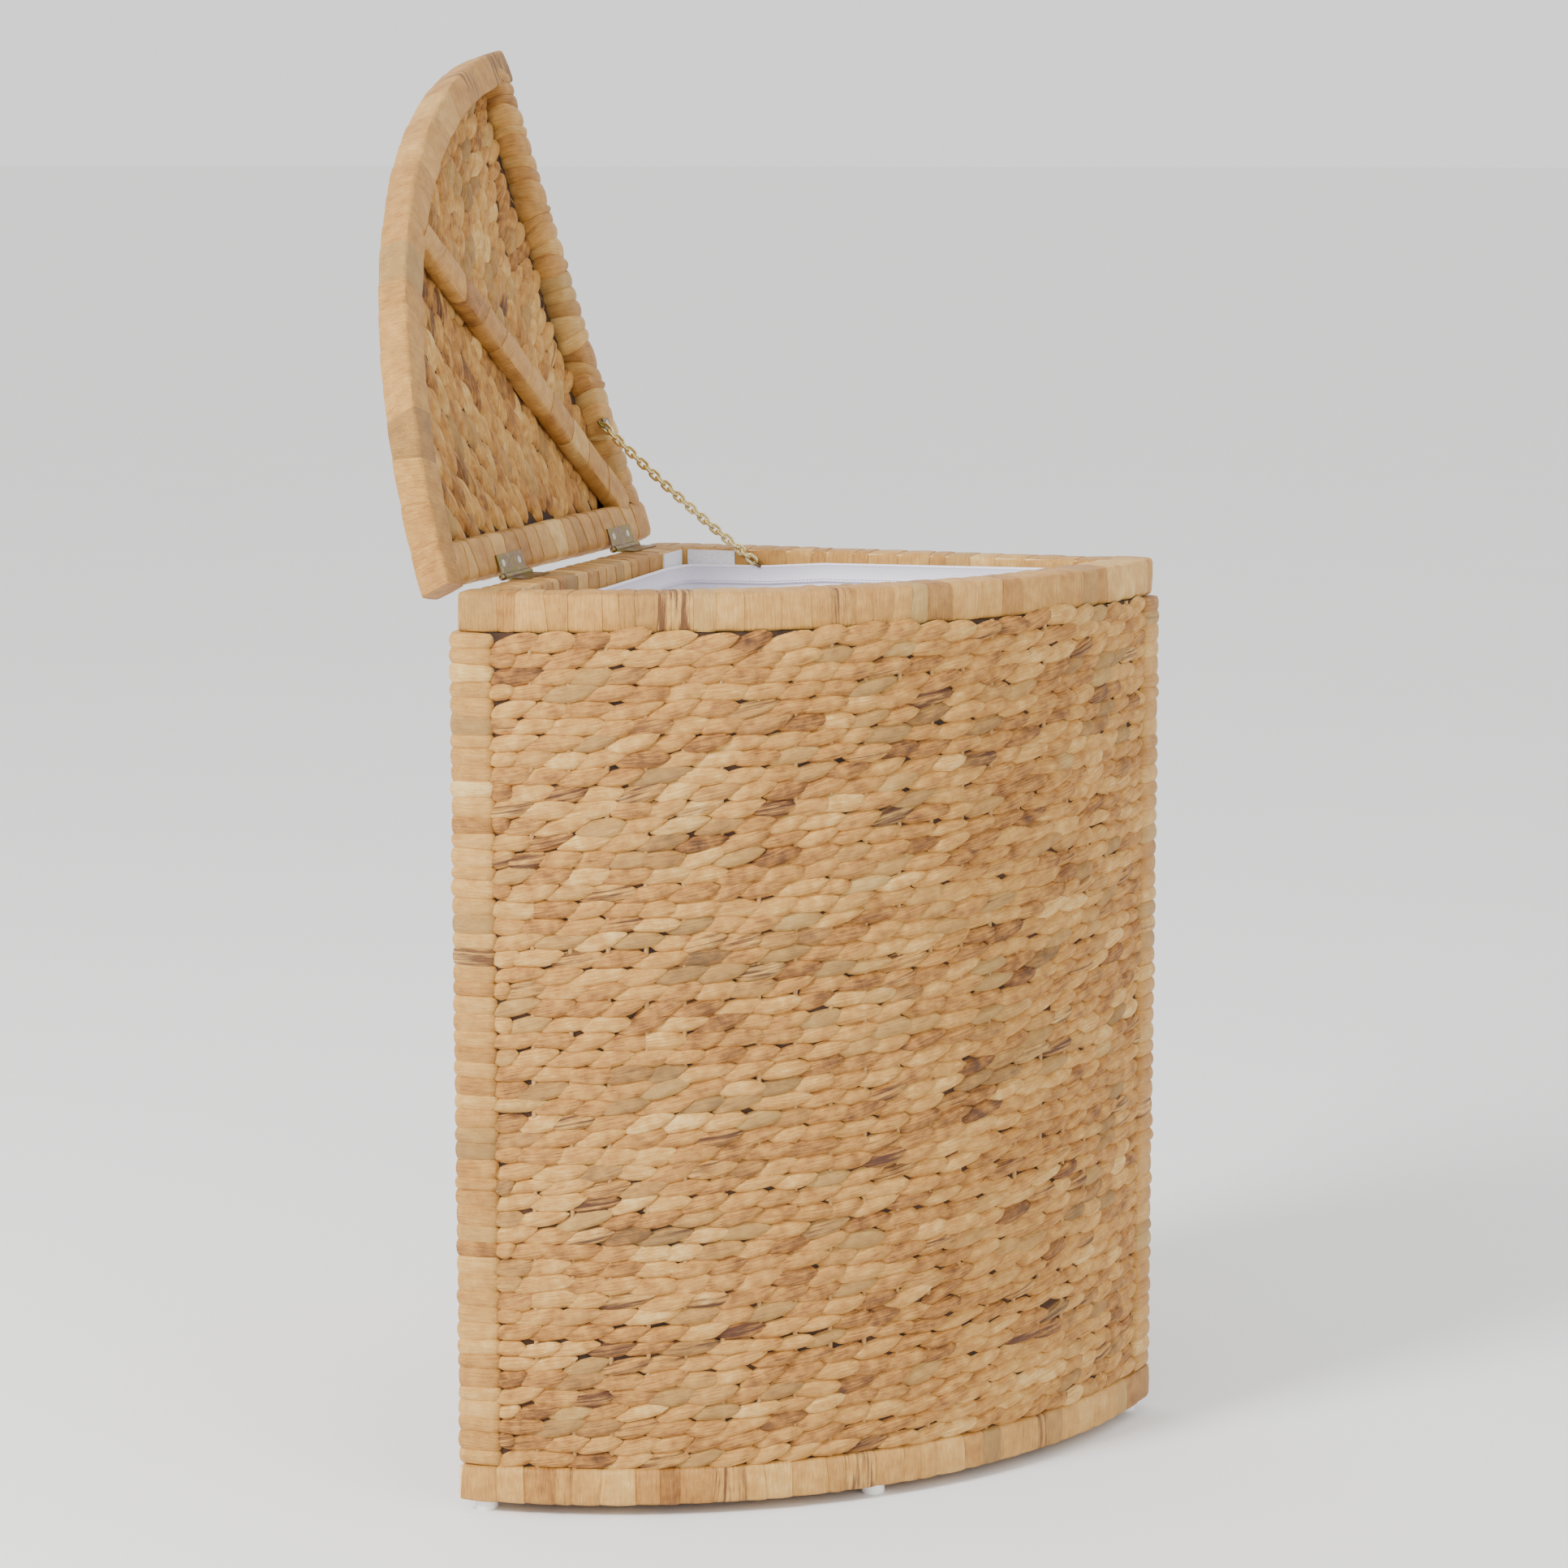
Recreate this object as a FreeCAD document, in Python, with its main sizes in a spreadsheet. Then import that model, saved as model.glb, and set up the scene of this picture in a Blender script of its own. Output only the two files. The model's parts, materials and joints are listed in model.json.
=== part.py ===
import FreeCAD
import Part
import Sketcher

import math
import os
import re

# Corner laundry basket: two straight walls at a right angle, a bowed front, and a lid hinged
# on the left wall. The origin is the centre of the back foot's underside. The left wall runs
# along -Y from the back corner, the right wall along +X, and the bow joins their ends.
# The lid stands open on its chain.

SIZES = (
    ("side", 370, "straight wall, corner to corner, outside the weave"),
    ("bow_radius", 405, "outside of the bowed front"),
    ("total_height", 600, "floor to the top of the rim"),
    ("foot_height", 8, "foot below the base rails"),
    ("foot_radius", 7.5, "foot"),
    ("foot_inset", 14, "foot centre from the outer faces"),
    ("foot_edge", 1, "rounding of the foot"),
    ("nail_radius", 1.2, "nail shank"),
    ("nail_head_radius", 3, "nail head inside the foot"),
    ("nail_head_height", 1.5, "nail head inside the foot"),
    ("nail_cover", 2.5, "plastic under the nail head"),
    ("nail_bite", 18, "nail above the foot"),
    ("base_height", 24, "base rail"),
    ("base_width", 26, "base rail"),
    ("rim_height", 25, "rim rail"),
    ("rim_width", 28, "rim rail"),
    ("rim_inset", 5, "rim rail behind the outside of the weave"),
    ("binding", 1.2, "strip binding round a rail"),
    ("post_width", 28, "corner post"),
    ("screw_radius", 1.8, "screw from a rail into a post"),
    ("screw_bite", 30, "screw inside the post"),
    ("weave", 9, "twined wall panel"),
    ("stake_radius", 1.6, "stake inside the weave"),
    ("stake_pitch", 24, "between stakes"),
    ("bar_width", 30, "cross bar under the floor"),
    ("bar_height", 8, "cross bar under the floor"),
    ("bar_low", 2, "cross bar above the base rail's underside"),
    ("bar_spacing", 120, "from the right wall to a bar and from bar to bar"),
    ("floor_panel", 8, "woven floor"),
    ("cloth", 1.5, "liner fabric"),
    ("cloth_gap", 2.2, "liner inside the rim rail's inner face"),
    ("cloth_rise", 0.5, "liner above the floor panel"),
    ("hem_height", 14, "folded hem"),
    ("hem_thickness", 3, "folded hem"),
    ("hem_drop", 15, "hem below the rim's top"),
    ("strip_length", 35, "hook and loop strip"),
    ("strip_thickness", 1, "hook and loop strip"),
    ("strip_corner", 4, "strip from the rim's inner corner"),
    ("hook_height", 20, "hook strip"),
    ("loop_height", 10, "loop strip"),
    ("strip_margin", 2, "hook strip below the rim's top, and loop strip below the hem's"),
    ("strip_gap", 0.1, "between hook and loop"),
    ("lid_gap", 3, "rim to closed lid"),
    ("lid_thickness", 22, "lid rails"),
    ("lid_rail", 28, "hinge rail and side rail"),
    ("lid_bow_rail", 24, "bowed lid rail"),
    ("lid_weave", 9, "twined lid panel"),
    ("lid_skin", 1, "lid panel below the rails' top"),
    ("batten_width", 24, "batten under the lid"),
    ("lid_open", 108, "degrees from closed to open"),
    ("ray_count", 12, "stakes in the lid"),
    ("ray_start", 45, "lid stakes from the back corner"),
    ("axis_out", 2.5, "hinge axis outside the rim"),
    ("leaf_length", 42, "hinge leaf along the axis"),
    ("leaf_width", 15, "hinge leaf across the axis"),
    ("leaf_thickness", 1.2, "hinge leaf"),
    ("knuckle_radius", 2.2, "hinge knuckle"),
    ("pin_radius", 1, "hinge pin"),
    ("pin_play", 0.05, "knuckle bore round the pin"),
    ("knuckle_gap", 0.3, "between knuckles, and knuckle to the other leaf"),
    ("ball_radius", 2.1, "ball on each end of the pin"),
    ("front_hinge", 108, "front hinge's middle from the front corner"),
    ("back_hinge", 66, "back hinge's middle from the outer back face"),
    ("woodscrew_radius", 1.3, "screw shank"),
    ("woodscrew_head", 2.4, "countersunk screw head"),
    ("woodscrew_length", 12, "screw"),
    ("woodscrew_spacing", 26, "two screws in a leaf"),
    ("woodscrew_place", 9, "screws from the axis"),
    ("chain_reach", 87.5, "hinge axis to either end of the chain"),
    ("chain_offset", 5, "chain in front of the rim's inner face"),
    ("chain_drop", 10, "screw eye below the rim's top"),
    ("chain_sag", 2.5, "middle of the chain below the straight line"),
    ("link_length", 10, "chain link, outside"),
    ("link_width", 6.7, "chain link, outside"),
    ("link_bar", 2, "chain link's bar, in its plane"),
    ("link_thickness", 1.6, "chain link's bar, across its plane"),
    ("link_play", 0.1, "between linked bars"),
    ("eye_radius", 2.9, "middle of the eye's wire"),
    ("eye_wire", 0.9, "radius of the eye's wire"),
    ("eye_bite", 14, "screw eye inside the rail"),
    ("lug_length", 11, "lug on the lid rail"),
    ("lug_width", 8, "lug on the lid rail"),
)

PLACES = (
    ("left_face", "-foot_inset", "outside of the left wall, in X"),
    ("right_face", "foot_inset", "outside of the right wall, in Y"),
    ("half_chord", "side / sqrt(2)", "half the bow's chord"),
    ("bow_depth", "sqrt(bow_radius ^ 2 - half_chord ^ 2)", "bow centre to its chord"),
    ("bow_shift", "(bow_depth - half_chord) / sqrt(2)", "bow centre past the corner"),
    ("beyond", "1.2 * side", "length of a bar that another shape trims"),
    ("bow_x", "left_face - bow_shift", "centre of the bow"),
    ("bow_y", "right_face + bow_shift", "centre of the bow"),
    ("base_top", "foot_height + base_height", "top of the base rails"),
    ("rim_low", "total_height - rim_height", "underside of the rim rails"),
    ("rim_inner", "rim_inset + rim_width", "inset of the rim rails' inner faces"),
    ("strip_start", "rim_inner + strip_corner", "strip from the wall's outer face"),
    ("floor_low", "foot_height + bar_low + bar_height", "underside of the floor panel"),
    ("floor_top", "floor_low + floor_panel", "top of the floor panel"),
    ("cloth_outer", "rim_inner + cloth_gap", "inset of the liner's outside"),
    ("cloth_low", "floor_top + cloth_rise", "underside of the liner"),
    ("hem_top", "total_height - hem_drop", "top of the hem"),
    ("hem_low", "hem_top - hem_height", "bottom of the hem"),
    ("lid_low", "total_height + lid_gap", "underside of the closed lid"),
    ("lid_top", "lid_low + lid_thickness", "top of the closed lid"),
    ("lid_inner", "rim_inset + lid_rail", "inset of the lid's straight rails' inner faces"),
    ("lid_bow_inner", "rim_inset + lid_bow_rail", "inset of the lid's bow rail's inner face"),
    ("weave_top", "lid_top - lid_skin", "top of the lid panel"),
    ("weave_low", "weave_top - lid_weave", "underside of the lid panel"),
    ("axis_x", "left_face + rim_inset - axis_out", "hinge axis"),
    ("axis_z", "total_height + lid_gap / 2", "hinge axis"),
    ("front_y", "right_face - side", "front end of the left wall"),
    ("chain_x", "axis_x + chain_reach", "chain end, in X"),
    ("chain_y", "right_face - rim_inner - chain_offset", "plane of the chain"),
    ("chain_z", "total_height - chain_drop", "chain end on the rim"),
)

OWNERS = {alias: "Sizes" for alias, _, _ in SIZES}
OWNERS.update({alias: "Places" for alias, _, _ in PLACES})

doc = FreeCAD.newDocument("corner_basket")
nodes = []


def formula(text):
    """Writes the sheet's name before each alias in an expression."""
    return re.sub(r"[a-z][a-z_]+", lambda m: f"{OWNERS[m[0]]}.{m[0]}" if m[0] in OWNERS else m[0], str(text))


def fill_sheets():
    sizes = doc.addObject("Spreadsheet::Sheet", "Sizes")
    for row, (alias, number, meaning) in enumerate(SIZES, start=1):
        sizes.set(f"A{row}", meaning)
        sizes.set(f"B{row}", str(number))
        sizes.setAlias(f"B{row}", alias)
    doc.recompute()
    places = doc.addObject("Spreadsheet::Sheet", "Places")
    for row, (alias, _, meaning) in enumerate(PLACES, start=1):
        places.set(f"A{row}", meaning)
        places.setAlias(f"B{row}", alias)
    for row, (_, text, _) in enumerate(PLACES, start=1):
        places.set(f"B{row}", "=" + formula(text))
    doc.recompute()


def value(alias):
    """A named size or place as a number."""
    return float(getattr(doc.getObject(OWNERS[alias]), alias))


def bind(obj, **expressions):
    for path, text in expressions.items():
        obj.setExpression(path.replace("__", "."), formula(text))
    return obj


def block(name, x, y, z):
    """A box between two values on each axis."""
    sides = {"Length": x, "Width": y, "Height": z}
    lengths = {key: f"({high}) - ({low})" for key, (low, high) in sides.items()}
    box = bind(doc.addObject("Part::Box", name), **lengths)
    return bind(box, Placement__Base__x=x[0], Placement__Base__y=y[0], Placement__Base__z=z[0])


def cylinder(name, x, y, z, radius):
    """An upright cylinder."""
    rod = bind(doc.addObject("Part::Cylinder", name), Radius=radius, Height=f"({z[1]}) - ({z[0]})")
    return bind(rod, Placement__Base__x=x, Placement__Base__y=y, Placement__Base__z=z[0])


def disc(name, inset, z):
    """A disc about the centre of the bow, inset from its outside."""
    return cylinder(name, "bow_x", "bow_y", z, f"bow_radius - ({inset})")


def cut(name, base, tool):
    result = doc.addObject("Part::Cut", name)
    result.Base, result.Tool = base, tool
    return result


def common(name, first, second):
    result = doc.addObject("Part::Common", name)
    result.Base, result.Tool = first, second
    return result


def fuse(name, shapes):
    result = doc.addObject("Part::MultiFuse", name)
    result.Shapes = shapes
    return result


def group(name, shapes):
    """Separate solids in one object, worked out from the sheets."""
    feature = doc.addObject("Part::Feature", name)
    feature.Shape = Part.makeCompound(shapes)
    return feature


def corner_block(name, inset, z):
    """Everything inside the two straight walls' inset planes."""
    x = (f"left_face + ({inset})", "left_face + beyond")
    y = ("right_face - beyond", f"right_face - ({inset})")
    return block(name, x, y, z)


def quadrant(name, inset, z):
    """The basket's plan, inset on all three sides, as a prism."""
    return common(name, corner_block(name + "_corner", inset, z), disc(name + "_bow", inset, z))


def ring(name, outer, inner, z):
    """A closed band that follows all three walls."""
    return cut(name, quadrant(name + "_out", outer, z), quadrant(name + "_in", inner, z))


def bow_band(name, outer, inner, clear, z):
    """A band along the bow, between planes that are clear of the straight walls' outer faces."""
    band = cut(name + "_band", disc(name + "_out", outer, z), disc(name + "_in", inner, z))
    return common(name, band, corner_block(name + "_ends", clear, z))


def left_band(name, outer, inner, back, z, trim):
    """A straight band along the left wall, trimmed to the bow at its front end."""
    x = (f"left_face + ({outer})", f"left_face + ({inner})")
    y = ("right_face - beyond", f"right_face - ({back})")
    return common(name, block(name + "_bar", x, y, z), disc(name + "_trim", trim, z))


def right_band(name, outer, inner, back, z, trim):
    """A straight band along the right wall, trimmed to the bow at its far end."""
    x = (f"left_face + ({back})", "left_face + beyond")
    y = (f"right_face - ({inner})", f"right_face - ({outer})")
    return common(name, block(name + "_bar", x, y, z), disc(name + "_trim", trim, z))


def keep(label, obj):
    """Lists a finished sub-part under its own label."""
    obj.Label = label
    nodes.append((label, obj))
    return obj


def foot_places():
    """Centres of the feet and the corner posts: back, left front, right front, and the middle of the bow."""
    reach = value("bow_radius") - value("foot_inset")
    front = math.sqrt(reach**2 - value("bow_x") ** 2) - value("bow_y")
    middle = reach * math.sqrt(0.5)
    return {
        "back": (0, 0),
        "left": (0, -front),
        "right": (front, 0),
        "bow": (value("bow_x") + middle, value("bow_y") - middle),
    }


def upright(place, low, high, radius):
    return Part.makeCylinder(radius, high - low, FreeCAD.Vector(place[0], place[1], low))


def make_foot_nails(places):
    low = value("nail_cover")
    neck = low + value("nail_head_height")
    top = value("foot_height") + value("nail_bite")
    nails = []
    for place in places.values():
        head = upright(place, low, neck, value("nail_head_radius"))
        nails.append(head.fuse(upright(place, neck, top, value("nail_radius"))).removeSplitter())
    return group("foot_nails", nails)


def make_frame_screws(places):
    """One screw up from each base rail and one down from each rim rail, into each post's ends."""
    sunk = value("binding")
    base_low = value("foot_height") + value("nail_bite") + value("binding")
    spans = (
        (base_low, value("base_top") + value("screw_bite")),
        (value("rim_low") - value("screw_bite"), value("total_height") - sunk),
    )
    corners = [places[key] for key in ("back", "left", "right")]
    return group(
        "frame_screws", [upright(c, low, high, value("screw_radius")) for c in corners for low, high in spans]
    )


def make_foot(name, place, nails):
    """A turned plastic glide: a pad with a rounded lower edge, moulded round its nail."""
    body = doc.addObject("PartDesign::Body", name + "_body")
    plane = next(f for f in body.Origin.OriginFeatures if f.Role == "XY_Plane")
    sketch = body.newObject("Sketcher::SketchObject", name + "_sketch")
    sketch.AttachmentSupport = (plane, [""])
    sketch.MapMode = "FlatFace"
    centre = FreeCAD.Vector(place[0], place[1], 0)
    sketch.addGeometry(Part.Circle(centre, FreeCAD.Vector(0, 0, 1), value("foot_radius")), False)
    sketch.addConstraint(Sketcher.Constraint("Radius", 0, value("foot_radius")))
    sketch.setExpression("Constraints[0]", formula("foot_radius"))
    pad = body.newObject("PartDesign::Pad", name + "_pad")
    pad.Profile = sketch
    bind(pad, Length="foot_height")
    doc.recompute()
    rounded = body.newObject("PartDesign::Fillet", name + "_edge")
    low = min(range(len(pad.Shape.Faces)), key=lambda i: pad.Shape.Faces[i].CenterOfMass.z)
    rounded.Base = (pad, [f"Face{low + 1}"])
    bind(rounded, Radius="foot_edge")
    body.Tip = rounded
    doc.recompute()
    return cut(name, body, nails)


def bound_rail(name, core, cover, fixings):
    """A rail and the strip binding that is wound round it; the fixings pass through both."""
    keep(name, cut(name, core, fixings))
    sleeve = cut(name + "_sleeve", cover, core)
    keep(name + "_binding", cut(name + "_binding", sleeve, fixings))


def make_rails(kind, outer, inner, z, fixings):
    """Three rails with their bindings: right to the corner, left butted to it, and the bow between them."""
    thin = "binding"
    core_z = (f"{z[0]} + {thin}", f"{z[1]} - {thin}")
    a, b = f"{outer} + {thin}", f"{inner} - {thin}"
    bound_rail(
        f"right_{kind}_rail",
        right_band(f"right_{kind}_core", a, b, outer, core_z, a),
        right_band(f"right_{kind}_cover", outer, inner, outer, z, outer),
        fixings,
    )
    bound_rail(
        f"left_{kind}_rail",
        left_band(f"left_{kind}_core", a, b, inner, core_z, a),
        left_band(f"left_{kind}_cover", outer, inner, inner, z, outer),
        fixings,
    )
    bound_rail(
        f"bow_{kind}_rail",
        bow_band(f"bow_{kind}_core", a, b, inner, core_z),
        bow_band(f"bow_{kind}_cover", outer, inner, inner, z),
        fixings,
    )


def make_posts(screws):
    z = ("base_top", "rim_low")
    left = ("left_face", "left_face + post_width")
    right = ("right_face - post_width", "right_face")
    far = ("left_face + side - post_width - weave", "left_face + beyond")
    front = ("right_face - beyond", "front_y + post_width + weave")
    left_block = block("left_post_block", left, front, z)
    right_block = block("right_post_block", far, right, z)
    bars = {
        "back_post": block("back_post_bar", left, right, z),
        "left_post": common("left_post_bar", left_block, disc("left_post_bow", 0, z)),
        "right_post": common("right_post_bar", right_block, disc("right_post_bow", 0, z)),
    }
    for name, bar in bars.items():
        keep(name, cut(name, bar, screws))


def spread(low, high):
    """Evenly spaced places between two ends, at about the stake pitch."""
    count = max(1, round((high - low) / value("stake_pitch")) - 1)
    return [low + (high - low) * (i + 1) / (count + 1) for i in range(count)]


def make_walls():
    """Twined panels between the posts, each with its stakes inside."""
    low, high = value("base_top"), value("rim_low")
    middle = value("weave") / 2
    back = value("post_width")
    front = value("side") - value("post_width") - value("weave")
    z = ("base_top", "rim_low")
    runs = [value("right_face") - d for d in spread(back, front)]
    left_stakes = [(value("left_face") + middle, y) for y in runs]
    right_stakes = [(-y, -x) for x, y in left_stakes]
    radius = value("bow_radius") - middle
    edge = math.asin((value("post_width") + value("bow_shift")) / radius)
    bow_stakes = [
        (value("bow_x") + radius * math.sin(angle), value("bow_y") - radius * math.cos(angle))
        for angle in bow_angles(edge, radius)
    ]
    left_x = ("left_face", "left_face + weave")
    left_y = ("front_y + post_width + weave", "right_face - post_width")
    right_x = ("left_face + post_width", "left_face + side - post_width - weave")
    right_y = ("right_face - weave", "right_face")
    panels = {
        "left": block("left_panel_blank", left_x, left_y, z),
        "right": block("right_panel_blank", right_x, right_y, z),
        "bow": bow_band("bow_panel_blank", 0, "weave", "post_width", z),
    }
    stakes = {"left": left_stakes, "right": right_stakes, "bow": bow_stakes}
    for side, blank in panels.items():
        rods = [upright(place, low, high, value("stake_radius")) for place in stakes[side]]
        rods = group(f"{side}_stakes", rods)
        keep(f"{side}_stakes", rods)
        keep(f"{side}_panel", cut(f"{side}_panel", blank, rods))


def bow_angles(edge, radius):
    """Angles about the bow's centre for its stakes, measured from -Y."""
    span = math.pi / 2 - 2 * edge
    count = round(span * radius / value("stake_pitch")) - 1
    return [edge + span * (i + 1) / (count + 1) for i in range(count)]


def make_bottom():
    bars_z = ("foot_height + bar_low", "floor_low")
    for index, name in ((1, "back_cross_bar"), (2, "front_cross_bar")):
        middle = f"right_face - {index} * bar_spacing"
        y = (f"{middle} - bar_width / 2", f"{middle} + bar_width / 2")
        bar = block(name + "_blank", ("left_face", "left_face + side"), y, bars_z)
        keep(name, common(name, bar, quadrant(name + "_room", "base_width", bars_z)))
    keep("floor_panel", quadrant("floor_panel", "base_width", ("floor_low", "floor_top")))


def make_liner():
    inner = "cloth_outer + cloth"
    keep("liner_bottom", quadrant("liner_bottom", "cloth_outer", ("cloth_low", "cloth_low + cloth")))
    keep("liner_wall", ring("liner_wall", "cloth_outer", inner, ("cloth_low + cloth", "hem_low")))
    keep("liner_hem", ring("liner_hem", "cloth_outer", "cloth_outer + hem_thickness", ("hem_low", "hem_top")))


def strip_pair(name, depth, z):
    """One strip on the right wall and one on the left wall, near the back corner."""
    along = ("left_face + strip_start", "left_face + strip_start + strip_length")
    across = (f"right_face - ({depth[1]})", f"right_face - ({depth[0]})")
    on_right = block(name + "_right", along, across, z)
    on_left = block(
        name + "_left",
        (f"left_face + ({depth[0]})", f"left_face + ({depth[1]})"),
        ("right_face - strip_start - strip_length", "right_face - strip_start"),
        z,
    )
    return keep(name, fuse(name, [on_right, on_left]))


def make_strips():
    hook_top = "total_height - strip_margin"
    loop_top = "hem_top - strip_margin"
    hook_faces = ("rim_inner", "rim_inner + strip_thickness")
    strip_pair("hook_strips", hook_faces, (f"{hook_top} - hook_height", hook_top))
    loop = "rim_inner + strip_thickness + strip_gap"
    strip_pair("loop_strips", (loop, f"{loop} + strip_thickness"), (f"{loop_top} - loop_height", loop_top))


def swing(name, closed):
    """A lid piece turned from its closed place to the open one, about the hinge axis."""
    piece = doc.addObject("Part::Compound", name)
    piece.Links = [closed]
    turn = "rotation(vector(0; 1; 0); -lid_open)"
    return bind(piece, Placement=f"placement(vector(0; 0; 0); {turn}; vector(axis_x; 0; axis_z))")


def lid_rays():
    """Stakes in the lid that fan out from the back corner, halfway through the weave."""
    height = value("weave_low") + value("lid_weave") / 2
    inset = value("rim_inset")
    corner = FreeCAD.Vector(value("left_face") + inset, value("right_face") - inset, height)
    rays = []
    for index in range(1, int(value("ray_count")) + 1):
        angle = math.pi / 2 * index / (value("ray_count") + 1)
        way = FreeCAD.Vector(math.cos(angle), -math.sin(angle), 0)
        start = corner + way * value("ray_start")
        rays.append(Part.makeCylinder(value("stake_radius"), value("side"), start, way))
    return rays


def make_lid(hinge_screws, lug_screw):
    z = ("lid_low", "lid_top")
    thin = "binding"
    core_z = (f"lid_low + {thin}", f"lid_top - {thin}")
    hinge_rail = left_band("lid_hinge_bar", "rim_inset", "lid_inner", "lid_inner", z, "rim_inset")
    keep("lid_hinge_rail", swing("lid_hinge_rail", cut("lid_hinge_rail_closed", hinge_rail, hinge_screws)))
    side_rail = right_band("lid_side_bar", "rim_inset", "lid_inner", "rim_inset", z, "rim_inset")
    keep("lid_side_rail", swing("lid_side_rail", cut("lid_side_rail_closed", side_rail, lug_screw)))
    bow_core = bow_band("lid_bow_core", f"rim_inset + {thin}", f"lid_bow_inner - {thin}", "lid_inner", core_z)
    bow_cover = bow_band("lid_bow_cover", "rim_inset", "lid_bow_inner", "lid_inner", z)
    keep("lid_bow_rail_binding", swing("lid_bow_rail_binding", cut("lid_bow_sleeve", bow_cover, bow_core)))
    keep("lid_bow_rail", swing("lid_bow_rail", bow_core))
    inside_z = ("weave_low", "weave_top")
    blank = common(
        "lid_panel_blank",
        corner_block("lid_panel_room", "lid_inner", inside_z),
        disc("lid_panel_bow", "lid_bow_inner", inside_z),
    )
    rods = group("lid_rays", lid_rays())
    keep("lid_stakes", swing("lid_stakes", common("lid_stakes_closed", rods, blank)))
    keep("lid_panel", swing("lid_panel", cut("lid_panel_closed", blank, rods)))
    make_batten()


def make_batten():
    """The diagonal batten under the lid panel, from the back corner to the middle of the bow."""
    z = ("lid_low", "weave_low")
    core_z = ("lid_low + binding", "weave_low - binding")
    room = common(
        "batten_room",
        corner_block("batten_room_corner", "lid_inner", z),
        disc("batten_room_bow", "lid_bow_inner", z),
    )
    bars = []
    for name, margin, span in (("batten_core", "binding", core_z), ("batten_cover", "0", z)):
        bar = bind(
            doc.addObject("Part::Box", name + "_bar"),
            Length="beyond",
            Width=f"batten_width - 2 * {margin}",
            Height=f"({span[1]}) - ({span[0]})",
            Placement__Base__x=f"left_face + rim_inset - (batten_width / 2 - {margin}) / sqrt(2)",
            Placement__Base__y=f"right_face - rim_inset - (batten_width / 2 - {margin}) / sqrt(2)",
            Placement__Base__z=span[0],
        )
        bar.Placement.Rotation = FreeCAD.Rotation(FreeCAD.Vector(0, 0, 1), -45)
        bars.append(common(name, bar, room))
    core, cover = bars
    keep("lid_batten_binding", swing("lid_batten_binding", cut("lid_batten_sleeve", cover, core)))
    keep("lid_batten", swing("lid_batten", core))


def hinge_middles():
    front = value("front_y") + value("front_hinge")
    back = value("right_face") - value("back_hinge")
    return {"front": front, "back": back}


def countersunk(x, y, z, down):
    """A countersunk screw whose flat head is flush at z; down is -1 or 1 along Z."""
    way = FreeCAD.Vector(0, 0, down)
    place = FreeCAD.Vector(x, y, z)
    sink = value("leaf_thickness")
    head = Part.makeCone(value("woodscrew_head"), value("woodscrew_radius"), sink, place, way)
    radius = value("woodscrew_radius")
    shank = Part.makeCylinder(radius, value("woodscrew_length") - sink, place + way * sink, way)
    return head.fuse(shank).removeSplitter()


def leaf_screws(name, z, down):
    """Both hinges' screws for one kind of leaf, as one group."""
    half = value("woodscrew_spacing") / 2
    x = value("axis_x") + value("woodscrew_place")
    middles = hinge_middles().values()
    return group(name, [countersunk(x, y + s * half, z, down) for y in middles for s in (-1, 1)])


def along_axis(y, length, radius):
    start = FreeCAD.Vector(value("axis_x"), y, value("axis_z"))
    return Part.makeCylinder(radius, length, start, FreeCAD.Vector(0, 1, 0))


def make_hinge(name, middle, body_screws, lid_screws):
    """A butt hinge: three knuckles, the outer two on the rim's leaf, with a ball-ended pin."""
    length, gap = value("leaf_length"), value("knuckle_gap")
    third = length / 3
    low = middle - length / 2
    bore = along_axis(low - 1, length + 2, value("pin_radius") + value("pin_play"))
    body_spans = ((low, third - gap / 2), (low + 2 * third + gap / 2, third - gap / 2))
    lid_spans = ((low + third + gap / 2, third - gap),)
    room = value("knuckle_radius") + gap
    halves = {
        "rim": (body_spans, lid_spans, value("total_height"), body_screws),
        "lid": (lid_spans, body_spans, value("lid_low") - value("leaf_thickness"), lid_screws),
    }
    for kind, (own, other, z, screws) in halves.items():
        corner = FreeCAD.Vector(value("axis_x"), low, z)
        leaf = Part.makeBox(value("leaf_width"), length, value("leaf_thickness"), corner)
        for start, run in own:
            leaf = leaf.fuse(along_axis(start, run, value("knuckle_radius")))
        for start, run in other:
            leaf = leaf.cut(along_axis(start - gap, run + 2 * gap, room))
        leaf = leaf.cut(bore).removeSplitter()
        blank = group(f"{name}_{kind}_leaf_blank", [leaf])
        flat = cut(f"{name}_{kind}_leaf_flat", blank, screws)
        keep(f"{name}_{kind}_leaf", swing(f"{name}_{kind}_leaf", flat) if kind == "lid" else flat)
    reach = length + 2 * value("ball_radius")
    pin = along_axis(middle - reach / 2, reach, value("pin_radius"))
    for end in (-1, 1):
        centre = FreeCAD.Vector(value("axis_x"), middle + end * (reach / 2 + gap), value("axis_z"))
        pin = pin.fuse(Part.makeSphere(value("ball_radius"), centre))
    keep(f"{name}_pin", group(f"{name}_pin", [pin.removeSplitter()]))


def slot(length, width, thickness):
    """A bar with round ends, centred on the origin, its length along X and its thickness along Y."""
    radius = width / 2
    corner = FreeCAD.Vector(radius - length / 2, -thickness / 2, -radius)
    middle = Part.makeBox(length - width, thickness, width, corner)
    for end in (-1, 1):
        start = FreeCAD.Vector(end * (length / 2 - radius), -thickness / 2, 0)
        middle = middle.fuse(Part.makeCylinder(radius, thickness, start, FreeCAD.Vector(0, 1, 0)))
    return middle.removeSplitter()


def chain_link():
    """One flat link: a rounded bar with a rounded opening."""
    bar = value("link_bar")
    outer = slot(value("link_length"), value("link_width"), value("link_thickness"))
    hole = slot(value("link_length") - 2 * bar, value("link_width") - 2 * bar, 2 * value("link_thickness"))
    return outer.cut(hole)


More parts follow.
